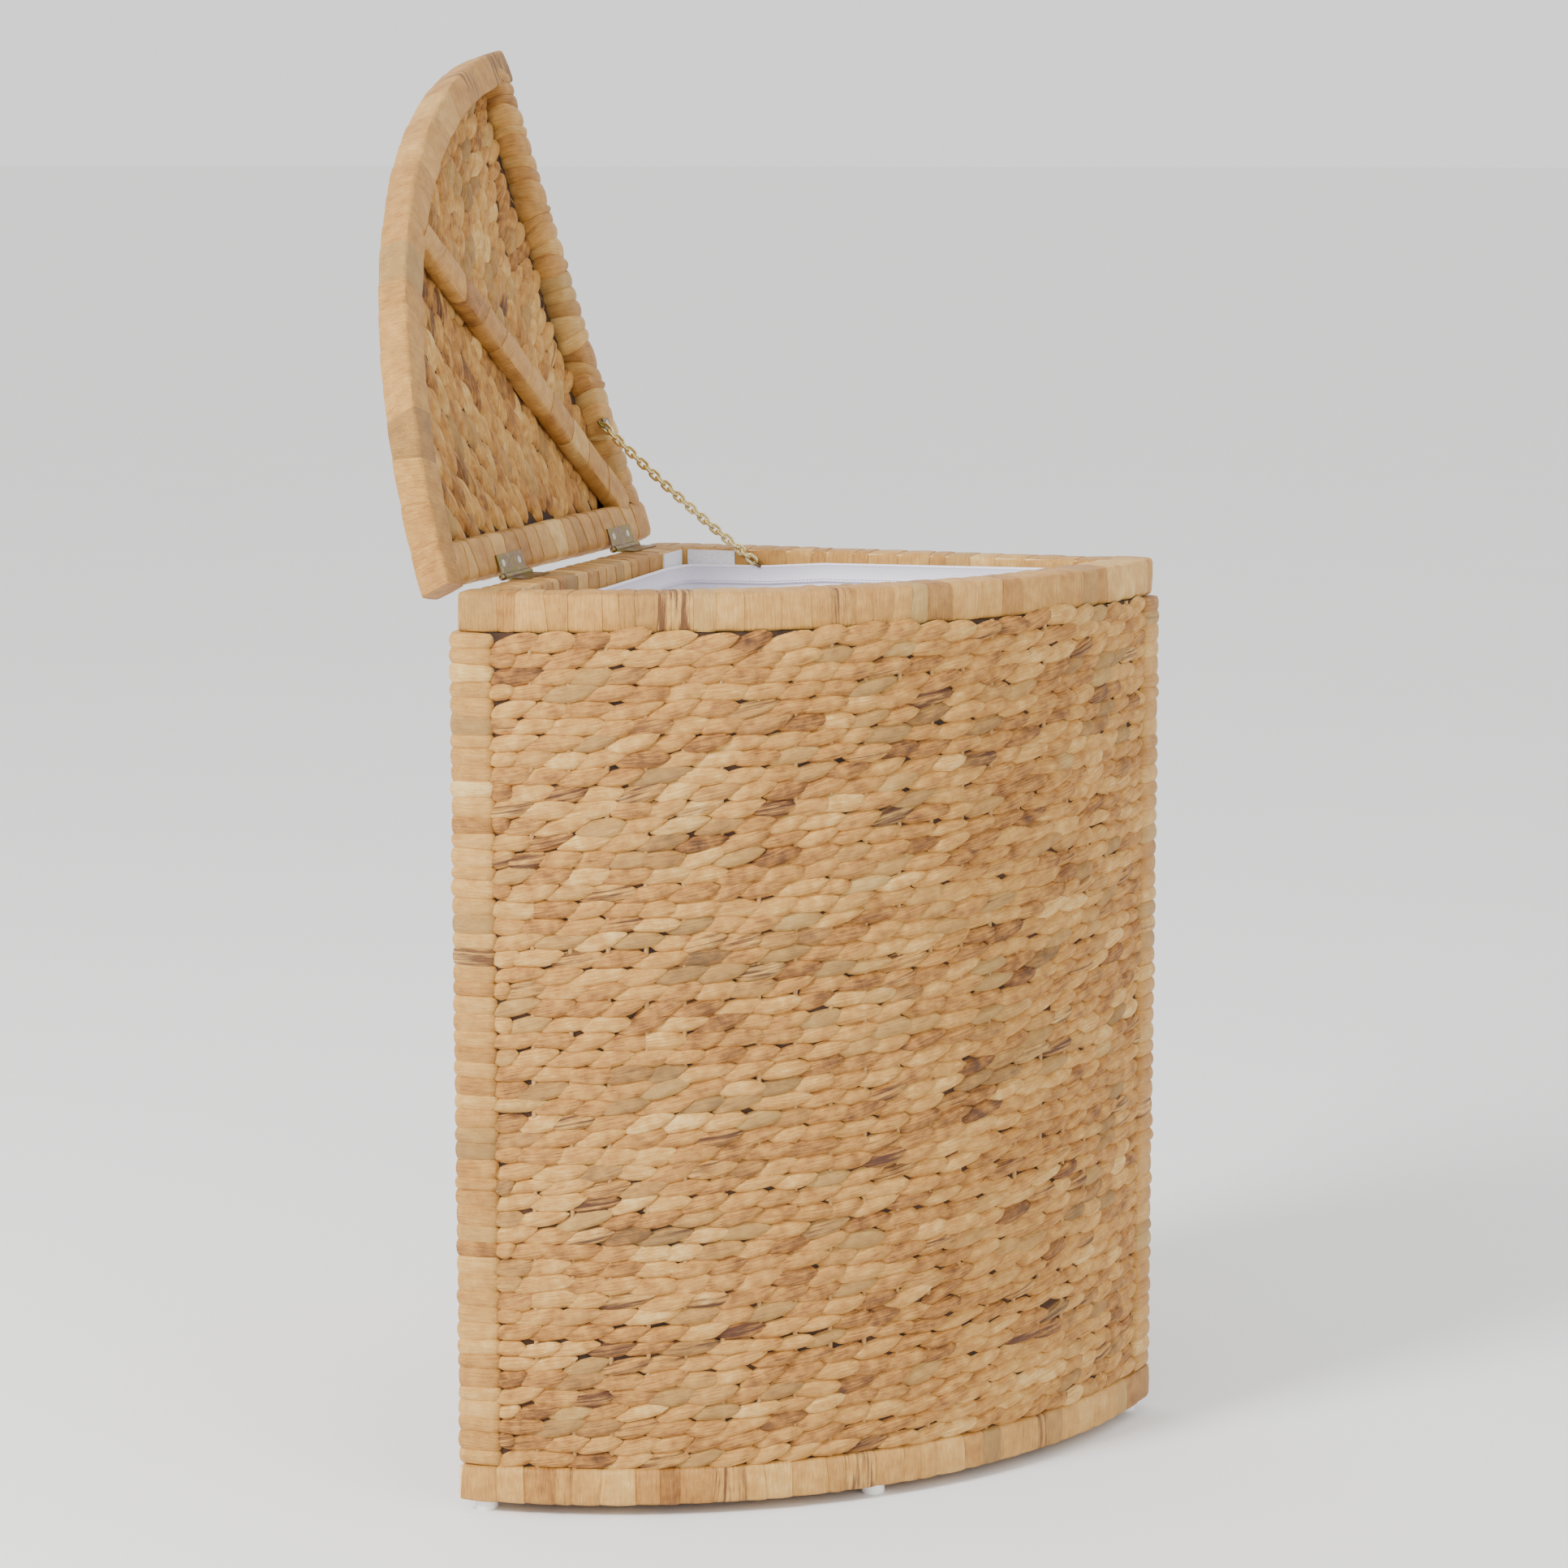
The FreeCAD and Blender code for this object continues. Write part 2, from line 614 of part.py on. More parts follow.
def chain_ends():
    """The chain's upper end on the open lid and its lower end on the rim."""
    y = value("chain_y")
    low = FreeCAD.Vector(value("chain_x"), y, value("chain_z"))
    turn = math.radians(value("lid_open"))
    reach = value("chain_reach")
    rise = value("lid_low") - value("axis_z") - value("leaf_thickness") / 2
    high = FreeCAD.Vector(
        value("axis_x") + reach * math.cos(turn) - rise * math.sin(turn),
        y,
        value("axis_z") + reach * math.sin(turn) + rise * math.cos(turn),
    )
    return high, low


def make_chain():
    """Links turned a quarter from one to the next, along a shallow sag between the two eyes."""
    high, low = chain_ends()
    way = (low - high).normalize()
    pitch = value("link_length") - 2 * value("link_bar") - value("link_play")
    inset = value("eye_radius") - value("eye_wire") - value("link_bar") / 2 - value("link_play")
    run = (low - high).Length - 2 * inset - (value("link_length") - value("link_bar"))
    count = 2 * math.ceil(run / (2 * pitch)) + 1
    step = run / (count - 1)
    link = chain_link()
    links = []
    for index in range(count):
        share = index / (count - 1)
        sag = 4 * value("chain_sag") * share * (1 - share)
        slope = 4 * value("chain_sag") * (1 - 2 * share) / run
        along = inset + (value("link_length") - value("link_bar")) / 2 + index * step
        place = high + way * along - FreeCAD.Vector(0, 0, sag)
        tangent = way - FreeCAD.Vector(0, 0, slope)
        turn = FreeCAD.Rotation(FreeCAD.Vector(1, 0, 0), tangent)
        roll = FreeCAD.Rotation(FreeCAD.Vector(1, 0, 0), 90 * (index % 2))
        copy = link.copy()
        copy.Placement = FreeCAD.Placement(place, turn.multiply(roll))
        links.append(copy)
    print("chain links", count, "pitch", round(step, 3), "inner length", round(pitch + value("link_play"), 3))
    keep("stay_chain", group("stay_chain", links))


def eye(centre, way):
    """A wire ring whose plane holds both Y and the chain's direction."""
    normal = way.cross(FreeCAD.Vector(0, 1, 0))
    return Part.makeTorus(value("eye_radius"), value("eye_wire"), centre, normal)


def make_eyes():
    """The screw eye in the rim, and the lug that a screw holds to the lid's side rail."""
    high, low = chain_ends()
    way = (low - high).normalize()
    wire = value("eye_wire")
    face = value("right_face") - value("rim_inner")
    tail = FreeCAD.Vector(low.x, low.y + value("eye_radius"), low.z)
    shank = Part.makeCylinder(wire, face - tail.y + value("eye_bite"), tail, FreeCAD.Vector(0, 1, 0))
    rim_eye = group("chain_rim_eye", [eye(low, way).fuse(shank).removeSplitter()])
    x, y, thick = value("chain_x"), value("chain_y"), value("leaf_thickness")
    z = value("lid_low") - thick
    edge = y + value("eye_radius")
    plate = Part.makeBox(
        value("lug_width"), value("lug_length"), thick, FreeCAD.Vector(x - value("lug_width") / 2, edge, z)
    )
    screw_y = edge + value("lug_length") - value("lug_width") / 2
    screw = group("lug_screw", [countersunk(x, screw_y, z, 1)])
    closed = FreeCAD.Placement(
        FreeCAD.Vector(),
        FreeCAD.Rotation(FreeCAD.Vector(0, 1, 0), value("lid_open")),
        FreeCAD.Vector(value("axis_x"), 0, value("axis_z")),
    )
    ring_part = eye(high, way)
    ring_part.Placement = closed.multiply(ring_part.Placement)
    lug = cut("chain_lug_closed", group("chain_lug_blank", [plate.fuse(ring_part).removeSplitter()]), screw)
    keep("chain_lid_lug", swing("chain_lid_lug", lug))
    return rim_eye, screw


def check_document():
    doc.recompute()
    for obj in doc.Objects:
        if {"Invalid", "Error"} & set(obj.State):
            raise RuntimeError(f"{obj.Label}: {obj.State}")
    for label, obj in nodes:
        if obj.Shape.isNull() or not obj.Shape.isValid() or not obj.Shape.Solids:
            raise RuntimeError(f"{label}: bad shape")


def write_parts():
    os.makedirs("parts", exist_ok=True)
    for label, obj in nodes:
        obj.Shape.exportStep(os.path.join("parts", label + ".step"))
        print(label, len(obj.Shape.Solids), round(obj.Shape.Volume))


fill_sheets()
corner_places = foot_places()
foot_nails = make_foot_nails(corner_places)
frame_screws = make_frame_screws(corner_places)
rim_screws = leaf_screws("hinge_rim_screws", value("total_height") + value("leaf_thickness"), -1)
lid_screws = leaf_screws("lid_leaf_screws", value("lid_low") - value("leaf_thickness"), 1)
rim_eye, lug_screw = make_eyes()
for corner, spot in corner_places.items():
    keep(f"{corner}_foot", make_foot(f"{corner}_foot", spot, foot_nails))
keep("foot_nails", foot_nails)
keep("frame_screws", frame_screws)
base_fixings = fuse("base_fixings", [frame_screws, foot_nails])
make_rails("base", "0", "base_width", ("foot_height", "base_top"), base_fixings)
rim_fixings = fuse("rim_fixings", [frame_screws, rim_screws, rim_eye])
make_rails("rim", "rim_inset", "rim_inner", ("rim_low", "total_height"), rim_fixings)
make_posts(frame_screws)
make_walls()
make_bottom()
make_liner()
make_strips()
for hinge, place in hinge_middles().items():
    make_hinge(f"{hinge}_hinge", place, rim_screws, lid_screws)
keep("hinge_rim_screws", rim_screws)
make_lid(lid_screws, lug_screw)
keep("chain_rim_eye", rim_eye)
make_chain()
keep("hinge_lid_screws", swing("hinge_lid_screws", lid_screws))
keep("chain_lug_screw", swing("chain_lug_screw", lug_screw))
check_document()
write_parts()
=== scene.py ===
import json
import math

import bpy
import numpy as np
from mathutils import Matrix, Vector


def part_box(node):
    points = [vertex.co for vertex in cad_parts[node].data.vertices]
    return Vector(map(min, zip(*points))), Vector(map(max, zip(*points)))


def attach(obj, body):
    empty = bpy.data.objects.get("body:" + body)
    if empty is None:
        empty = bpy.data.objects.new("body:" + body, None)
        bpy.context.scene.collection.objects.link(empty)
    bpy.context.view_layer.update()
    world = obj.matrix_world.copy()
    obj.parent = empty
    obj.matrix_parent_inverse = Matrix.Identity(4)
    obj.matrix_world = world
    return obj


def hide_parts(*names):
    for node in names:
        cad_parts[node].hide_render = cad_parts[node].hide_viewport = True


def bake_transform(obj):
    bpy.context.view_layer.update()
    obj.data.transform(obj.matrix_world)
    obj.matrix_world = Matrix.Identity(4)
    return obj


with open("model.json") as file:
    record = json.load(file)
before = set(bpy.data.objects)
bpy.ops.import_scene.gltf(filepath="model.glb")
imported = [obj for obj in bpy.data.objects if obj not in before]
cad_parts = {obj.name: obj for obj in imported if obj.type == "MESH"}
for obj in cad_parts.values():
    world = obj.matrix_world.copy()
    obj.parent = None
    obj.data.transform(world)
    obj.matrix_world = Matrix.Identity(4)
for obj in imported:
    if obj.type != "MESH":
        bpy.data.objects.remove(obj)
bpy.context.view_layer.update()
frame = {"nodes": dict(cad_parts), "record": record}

# Studio: a pale floor under a white world background, two soft lights and the camera.
# The light comes from the front left and above, so the weave's shadows fall to the right.


def tone(text):
    """A colour from its sRGB hex value."""
    parts = [int(text[k:k + 2], 16) / 255 for k in (0, 2, 4)]
    return tuple(c / 12.92 if c <= 0.04045 else ((c + 0.055) / 1.055) ** 2.4 for c in parts) + (1,)


def node(tree, kind, settings=(), links=(), values=(), stops=()):
    """Adds a node, with its settings, the sockets that feed it, its own values and colour stops."""
    new = tree.nodes.new(kind)
    for key, setting in dict(settings).items():
        setattr(new, key, setting)
    for key, value in dict(values).items():
        new.inputs[key].default_value = value
    for key, source in dict(links).items():
        tree.links.new(source, new.inputs[key])
    if stops:
        marks = new.color_ramp.elements
        for place, _ in stops[1:-1]:
            marks.new(place)
        for mark, (place, colour) in zip(marks, stops):
            mark.position, mark.color = place, tone(colour)
    return new


def shader_of(name):
    material = bpy.data.materials.new(name)
    material.use_nodes = True
    return material, material.node_tree, material.node_tree.nodes["Principled BSDF"]


def dress(piece, material):
    piece.data.materials.clear()
    piece.data.materials.append(material)


bpy.ops.object.select_all(action="DESELECT")
bpy.ops.mesh.primitive_plane_add(size=400, location=(0, 0, 0))
floor = bpy.context.object
floor.name = "studio_floor"
# Matt white card: even, with the faintest mottle.
card, tree, shader = shader_of("matt_white_card")
shader.inputs["Roughness"].default_value = 0.9
grit = node(tree, "ShaderNodeTexNoise", values={"Scale": 3, "Detail": 3},
            links={"Vector": node(tree, "ShaderNodeTexCoord").outputs["Object"]})
tint = node(tree, "ShaderNodeValToRGB", links={"Fac": grit.outputs["Fac"]},
            stops=[(0, "F3F3F2"), (1, "F6F6F5")])
tree.links.new(tint.outputs["Color"], shader.inputs["Base Color"])
dress(floor, card)

world = bpy.data.worlds.new("studio_white")
world.use_nodes = True
world.node_tree.nodes["Background"].inputs["Color"].default_value = (1, 1, 1, 1)
world.node_tree.nodes["Background"].inputs["Strength"].default_value = 1.3
bpy.context.scene.world = world


def softbox(name, place, target, size, power):
    light = bpy.data.objects.new(name, bpy.data.lights.new(name, "AREA"))
    light.data.shape, light.data.size, light.data.energy = "DISK", size, power
    light.location = place
    light.rotation_mode = "QUATERNION"
    light.rotation_quaternion = (Vector(target) - Vector(place)).to_track_quat("-Z", "Y")
    bpy.context.scene.collection.objects.link(light)


softbox("key_light", (-1.3, -2.6, 2.3), (0.15, -0.15, 0.45), 0.9, 165)
softbox("fill_light", (2.6, -1.6, 1.4), (0.15, -0.15, 0.4), 1.8, 20)

camera = bpy.data.objects.new("camera", bpy.data.cameras.new("camera"))
bpy.context.scene.collection.objects.link(camera)
CAMERA_TURN, CAMERA_TILT = math.radians(19.05), math.radians(8.8)
camera.location = (1.022, -2.706, 0.875)
camera.data.lens = 94.1
camera.data.sensor_width = 36
camera.data.clip_start = 0.1
backwards = Vector((math.sin(CAMERA_TURN) * math.cos(CAMERA_TILT),
                    -math.cos(CAMERA_TURN) * math.cos(CAMERA_TILT), math.sin(CAMERA_TILT)))
camera.rotation_mode = "QUATERNION"
camera.rotation_quaternion = (-backwards).to_track_quat("-Z", "Y")
bpy.context.scene.camera = camera

# Walls of twined water hyacinth: two flat plaited strands cross between the upright stakes and
# show as rows of slanting leaf shapes. The rows stand a little proud of the rim and base rails.
BOW_X, BOW_Y, BOW_R = -0.0476, 0.0476, 0.405
FACE = 0.014
WALL_LOW, WALL_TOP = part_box("bow_panel")[0][2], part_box("bow_panel")[1][2]
ROWS = 51
PER_CM = 100
SIDE_MIDDLE = 0.1665


def hyacinth(name, stops, streak_depth, patch_colour, rough):
    """Dried, split hyacinth stem: fibres run along each strand, with brown age marks."""
    material, tree, shader = shader_of(name)
    strand = node(tree, "ShaderNodeAttribute", {"attribute_name": "strand"})
    split = node(tree, "ShaderNodeSeparateColor", links={"Color": strand.outputs["Color"]})
    place = node(tree, "ShaderNodeUVMap", {"uv_map": "fibre"})
    along = node(tree, "ShaderNodeMapping", links={"Vector": place.outputs["UV"]},
                 values={"Scale": (0.5, 9, 1)})
    fine = node(tree, "ShaderNodeMapping", links={"Vector": place.outputs["UV"]},
                values={"Scale": (1.2, 30, 1)})
    broad = node(tree, "ShaderNodeTexNoise", links={"Vector": along.outputs["Vector"]},
                 values={"Scale": 1, "Detail": 4, "Roughness": 0.6})
    fibre = node(tree, "ShaderNodeTexNoise", links={"Vector": fine.outputs["Vector"]},
                 values={"Scale": 1, "Detail": 3, "Roughness": 0.7})
    cloud = node(tree, "ShaderNodeTexNoise", links={"Vector": place.outputs["UV"]},
                 values={"Scale": 1.1, "Detail": 3})
    both = node(tree, "ShaderNodeMath", {"operation": "ADD"},
                {0: broad.outputs["Fac"], 1: fibre.outputs["Fac"]})
    third = node(tree, "ShaderNodeMath", {"operation": "ADD"},
                 {0: both.outputs[0], 1: cloud.outputs["Fac"]})
    streak = node(tree, "ShaderNodeMath", {"operation": "MULTIPLY_ADD"}, {0: third.outputs[0]},
                  {1: streak_depth, 2: -1.5 * streak_depth})
    shade = node(tree, "ShaderNodeMath", {"operation": "ADD", "use_clamp": True},
                 {0: split.outputs["Red"], 1: streak.outputs[0]})
    body = node(tree, "ShaderNodeValToRGB", links={"Fac": shade.outputs[0]},
                stops=stops).outputs["Color"]
    olive = node(tree, "ShaderNodeMapRange", links={"Value": split.outputs["Green"]},
                 values={"From Min": 0.8, "From Max": 1.0, "To Max": 0.55})
    greyed = node(tree, "ShaderNodeMix", {"data_type": "RGBA"},
                  {"Factor": olive.outputs["Result"], 6: body}, {7: tone("8F7746")})
    marks = node(tree, "ShaderNodeTexNoise", links={"Vector": along.outputs["Vector"]},
                 values={"Scale": 0.45, "Detail": 5, "Roughness": 0.65})
    worn = node(tree, "ShaderNodeMath", {"operation": "MULTIPLY"},
                {0: marks.outputs["Fac"], 1: split.outputs["Blue"]})
    amount = node(tree, "ShaderNodeMapRange", links={"Value": worn.outputs[0]},
                  values={"From Min": 0.46, "From Max": 0.6, "To Max": 0.9})
    colour = node(tree, "ShaderNodeMix", {"data_type": "RGBA"},
                  {"Factor": amount.outputs["Result"], 6: greyed.outputs[2]}, {7: tone(patch_colour)})
    tree.links.new(colour.outputs[2], shader.inputs["Base Color"])
    gloss = node(tree, "ShaderNodeMapRange", links={"Value": broad.outputs["Fac"]},
                 values={"To Min": rough - 0.12, "To Max": rough + 0.12})
    tree.links.new(gloss.outputs["Result"], shader.inputs["Roughness"])
    ridge = node(tree, "ShaderNodeBump", links={"Height": both.outputs[0]},
                 values={"Strength": 1.0, "Distance": 0.0009})
    tree.links.new(ridge.outputs["Normal"], shader.inputs["Normal"])
    return material


# Water hyacinth, dried and twined: matt, fibrous, honey coloured, no two strands alike.
woven = hyacinth("twined_water_hyacinth", [(0, "52300F"), (0.25, "8E5A22"), (0.5, "BA823A"),
                                           (0.8, "D2A052"), (1, "E4BD76")], 0.95, "451C0A", 0.6)
# The same stem pressed flat for binding: paler, smoother, faintly shiny.
bound = hyacinth("flat_water_hyacinth", [(0, "7A4814"), (0.3, "AF7832"), (0.6, "C99549"),
                                         (0.85, "DBAD60"), (1, "E8C47E")], 0.7, "5E3012", 0.5)
# Strands deep in the weave, out of the light: their near-black brown is painted shade, a shaded copy of the
# hyacinth.
painted_shade_hyacinth, tree, shader = shader_of("painted_shade_water_hyacinth")
shader.inputs["Roughness"].default_value = 0.9
depth = node(tree, "ShaderNodeTexNoise", values={"Scale": 120, "Detail": 3},
             links={"Vector": node(tree, "ShaderNodeTexCoord").outputs["Object"]})
tint = node(tree, "ShaderNodeValToRGB", links={"Fac": depth.outputs["Fac"]},
            stops=[(0.3, "1E1006"), (0.7, "4A2D14")])
tree.links.new(tint.outputs["Color"], shader.inputs["Base Color"])


def leaf_form():
    """One visible turn of a strand: a long lens with a flat back, 2 x 2 x 1."""
    bpy.ops.object.select_all(action="DESELECT")
    bpy.ops.mesh.primitive_grid_add(x_subdivisions=8, y_subdivisions=5, size=2)
    leaf = bpy.context.object
    for vertex in leaf.data.vertices:
        a, b = vertex.co.x, vertex.co.y
        half = max(1 - abs(a) ** 2.3, 0) ** 0.62 * 0.9 + 0.1
        crown = (1 - b * b) ** 0.6 * (0.25 + 0.75 * half)
        vertex.co = (a, b * half, crown + 0.06 * math.cos(9 * b) * (1 - b * b))
    bpy.ops.object.mode_set(mode="EDIT")
    bpy.ops.mesh.select_all(action="DESELECT")
    bpy.ops.mesh.select_mode(type="EDGE")
    bpy.ops.mesh.select_non_manifold()
    bpy.ops.mesh.edge_face_add()
    bpy.ops.mesh.select_all(action="SELECT")
    bpy.ops.mesh.normals_make_consistent(inside=False)
    bpy.ops.object.mode_set(mode="OBJECT")
    points = np.array([v.co[:] for v in leaf.data.vertices])
    faces = [list(p.vertices) for p in leaf.data.polygons]
    bpy.data.objects.remove(leaf)
    return points, faces


leaf_points, leaf_faces = leaf_form()


def make_piece(name, points, faces, fibre, strand, material):
    """A mesh piece with its fibre map (cm along, cm across) and each strand's own tone."""
    mesh = bpy.data.meshes.new(name)
    mesh.from_pydata([tuple(p) for p in points], [], faces)
    layer = mesh.uv_layers.new(name="fibre")
    layer.data.foreach_set("uv", np.asarray(fibre, np.float32).ravel())
    colours = mesh.attributes.new("strand", "FLOAT_COLOR", "POINT")
    colours.data.foreach_set("color", np.asarray(strand, np.float32).ravel())
    piece = bpy.data.objects.new(name, mesh)
    bpy.context.scene.collection.objects.link(piece)
    dress(piece, material)
    bpy.ops.object.select_all(action="DESELECT")
    piece.select_set(True)
    bpy.context.view_layer.objects.active = piece
    bpy.ops.object.mode_set(mode="EDIT")
    bpy.ops.mesh.select_all(action="SELECT")
    bpy.ops.mesh.normals_make_consistent(inside=False)
    bpy.ops.object.mode_set(mode="OBJECT")
    bpy.ops.object.shade_smooth_by_angle(angle=math.radians(50))
    return piece


def strand_tones(dice, count, patched):
    """Tone, seed and age mark of each strand."""
    shades = np.clip(dice.normal(0.55, 0.13, count), 0.15, 0.95)
    marks = np.where(dice.random(count) < patched, dice.uniform(0.85, 1.1, count), 0.3)
    return np.stack([shades, dice.random(count), marks, np.ones(count)], 1)


def twine(name, surface, spots, dice, patched=0.07, material=woven):
    """Copies the leaf to each spot (u, v, length, width, height, slant, lift)."""
    spots = np.array(spots)
    count, each = len(spots), len(leaf_points)
    u, v, length, width, height, slant, lift = (spots[:, k:k + 1] for k in range(7))
    a, b, c = (leaf_points[:, k][None] for k in range(3))
    along = a * length / 2
    across = b * width / 2 + 0.06 * width * np.sin(2.2 * a + dice.uniform(0, 6, (count, 1)))
    tip = dice.uniform(0.0002, 0.0011, (count, 1))
    roll = dice.normal(0, 0.0004, (count, 1))
    du = along * np.cos(slant) - across * np.sin(slant)
    dv = along * np.sin(slant) + across * np.cos(slant)
    out = lift + tip * a + c * (height + roll * b)
    points = surface(u, v, du, dv, out).reshape(-1, 3)
    faces = [[i * each + k for k in face] for i in range(count) for face in leaf_faces]
    corners = np.concatenate([np.array(face) for face in leaf_faces])
    shift = dice.uniform(0, 60, (count, 2))
    fibre = np.stack([along[:, corners] * PER_CM + shift[:, :1],
                      across[:, corners] * PER_CM + shift[:, 1:]], 2)
    strand = np.repeat(strand_tones(dice, count, patched), each, 0)
    return make_piece(name, points, faces, fibre.reshape(-1, 2), strand, material)


def on_bow(u, v, du, dv, out):
    angle = -math.pi / 4 + (u + du) / BOW_R
    reach = BOW_R + out
    return np.stack([BOW_X + reach * np.cos(angle), BOW_Y + reach * np.sin(angle), v + dv], 2)


def on_left(u, v, du, dv, out):
    return np.stack([-FACE - out, -SIDE_MIDDLE - u - du, v + dv], 2)


def on_right(u, v, du, dv, out):
    return np.stack([SIDE_MIDDLE - u - du, FACE + out, v + dv], 2)


def wall_rows(dice, half, seam=None):
    """Spots for a wall's rows. Right of the seam the turns are shorter and steeper."""
    pitch = (WALL_TOP - WALL_LOW) / ROWS
    spots = []
    for row in range(ROWS):
        z = WALL_LOW + (row + 0.5) * pitch
        wave = dice.uniform(0, 6)
        swing = 0.0006 + 0.0022 * max(0, row - ROWS + 3) / 3
        place = -half - (0.012 if row % 2 else 0.0) + dice.normal(0, 0.0015)
        fat = dice.normal(1, 0.07)
        while place < half:
            step = 0.0245 if seam is None or place < seam else 0.0185
            step *= dice.normal(1, 0.09)
            start, stop = max(place, -half), min(place + step, half)
            if stop - start > 0.007:
                middle = (start + stop) / 2
                level = z + swing * math.sin(wave + middle * 40) + dice.normal(0, 0.0004)
                length = (stop - start) * 1.42 + 0.001
                width = pitch * 1.22 * fat * dice.normal(1, 0.07)
                height = dice.uniform(0.0036, 0.0052)
                steeper = 1 if seam is None or place < seam else 1.25
                slant = dice.normal(0.2, 0.05) * steeper
                lift = -0.0046 + dice.normal(0, 0.0002)
                spots.append((middle, level, length, width, height, slant, lift))
            place += step
    return spots


def slab(name, outline, low, high, material):
    """A flat outline given thickness, from low to high in Z."""
    count = len(outline)
    points = [(x, y, z) for z in (low, high) for x, y in outline]
    faces = [list(range(count))[::-1], [count + k for k in range(count)]]
    faces += [[k, (k + 1) % count, count + (k + 1) % count, count + k] for k in range(count)]
    mesh = bpy.data.meshes.new(name)
    mesh.from_pydata(points, [], faces)
    piece = bpy.data.objects.new(name, mesh)
    bpy.context.scene.collection.objects.link(piece)
    dress(piece, material)
    return piece


def bow_outline(near, far, half, turns=48):
    angles = [-math.pi / 4 + half * (2 * k / turns - 1) for k in range(turns + 1)]
    ring = [(far, a) for a in angles] + [(near, a) for a in reversed(angles)]
    return [(BOW_X + r * math.cos(a), BOW_Y + r * math.sin(a)) for r, a in ring]


BOW_HALF, SIDE_HALF, SEAM = 0.2563, 0.1525, 0.139
CORE_OUT, CORE_IN = 0.0093, 0.0055
bow_weave = twine("bow_weave", on_bow, wall_rows(np.random.default_rng(7), BOW_HALF, SEAM),
                  np.random.default_rng(11))
# Behind the leaves, and likewise under the floor and lid weaves, a thin sheet in this painted shade stands
# for the strands deep in the weave.
bow_core = slab("bow_weave_core", bow_outline(0.3965, 0.4003, BOW_HALF / BOW_R + 0.01),
                WALL_LOW, WALL_TOP, painted_shade_hyacinth)
left_weave = twine("left_weave", on_left, wall_rows(np.random.default_rng(8), SIDE_HALF),
                   np.random.default_rng(12))
left_core = slab("left_weave_core", [(-CORE_OUT, -0.32), (-CORE_IN, -0.32),
                                     (-CORE_IN, -0.013), (-CORE_OUT, -0.013)],
                 WALL_LOW, WALL_TOP, painted_shade_hyacinth)
right_weave = twine("right_weave", on_right, wall_rows(np.random.default_rng(9), SIDE_HALF),
                    np.random.default_rng(13))
right_core = slab("right_weave_core", [(0.013, CORE_IN), (0.32, CORE_IN),
                                       (0.32, CORE_OUT), (0.013, CORE_OUT)],
                  WALL_LOW, WALL_TOP, painted_shade_hyacinth)
for weave, core, panel in ((bow_weave, bow_core, "bow_panel"), (left_weave, left_core, "left_panel"),
                           (right_weave, right_core, "right_panel")):
    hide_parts(panel)
    for piece in (weave, core):
        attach(piece, "basket")

# Rails and corner posts: pine bars wound with flat hyacinth strips. Each strip laps the one
# before it, and its end is tucked inside. The posts are wound by the ends of the wall's rows.


def rounded(corners, radius, crown=0.0):
    """A closed cross-section: its points and their outward directions."""
    points, ways = [], []
    corners = [Vector(c) for c in corners]
    count = len(corners)
    for k in range(count):
        here = corners[k]
        before = (corners[k - 1] - here).normalized()
        after = (corners[(k + 1) % count] - here).normalized()
        out_a = Vector((before.y, -before.x)) * -1
        out_b = Vector((after.y, -after.x))
        for t in (0, 0.5, 1):
            way = (out_a * (1 - t) + out_b * t).normalized()
            centre = here + (before + after) * radius
            points.append(centre + way * radius)
            ways.append(way)
        middle = (here + corners[(k + 1) % count]) / 2
        points.append(middle + out_b * crown)
        ways.append(out_b)
    return np.array([p[:] for p in points]), np.array([w[:] for w in ways])


def wind(name, path, section, cuts, profile, dice, lean, patched=0.05):
    """Winds strips round a bar. path(s) gives the bar's middle and its two cross directions;
    profile gives the strip's height above the bar from its first edge to its last."""
    ring, ways = section
    size, steps = len(ring), len(profile)
    edges = np.append(ring, ring[:1], 0)
    girth = np.append(0, np.cumsum(np.linalg.norm(np.diff(edges, axis=0), axis=1)))
    reach = np.abs(ring).max()
    slants = dice.normal(0, lean, (len(cuts), 2))
    points, faces, fibre, tones = [], [], [], []
    strand = strand_tones(dice, len(cuts) - 1, patched)
    for i in range(len(cuts) - 1):
        lap = 0.0012 if i < len(cuts) - 2 else 0
        grow = dice.normal(1, 0.22)
        base = len(points) * size
        shift = dice.uniform(0, 60, 2)
        uneven = dice.normal(0, 0.0002, size)
        for k, height in enumerate(profile):
            t = k / (steps - 1)
            slant = slants[i] * (1 - t) + slants[i + 1] * t
            s = cuts[i] + (cuts[i + 1] + lap - cuts[i]) * t + ring @ slant / reach
            middle, one, two = path(s)
            out = ring + ways * (height * grow + uneven * math.sin(math.pi * t))[:, None]
            points.append(middle + one * out[:, :1] + two * out[:, 1:])
            tones.append(np.repeat(strand[i:i + 1], size, 0))
        for k in range(steps - 1):
            for j in range(size):
                n = (j + 1) % size
                row, up = base + k * size, base + (k + 1) * size
                faces.append([row + j, row + n, up + n, up + j])
                along = [girth[j] * PER_CM + shift[0], girth[j + 1] * PER_CM + shift[0]]
                wide = (cuts[i + 1] - cuts[i]) / (steps - 1) * PER_CM
                across = [wide * k + shift[1], wide * (k + 1) + shift[1]]
                fibre += [(along[0], across[0]), (along[1], across[0]),
                          (along[1], across[1]), (along[0], across[1])]
        last = base + (steps - 1) * size
        faces.append([base + j for j in range(size)][::-1])
        faces.append([last + j for j in range(size)])
        end = [tuple(point * PER_CM + shift) for point in ring]
        fibre += end[::-1] + end
    return make_piece(name, np.concatenate(points), faces, fibre, np.concatenate(tones), bound)


def straight(start, way, one, two):
    """A straight bar's path."""
    start, way, one, two = (np.array(p, float) for p in (start, way, one, two))
    return lambda s: (start + np.outer(s, way), one, two)


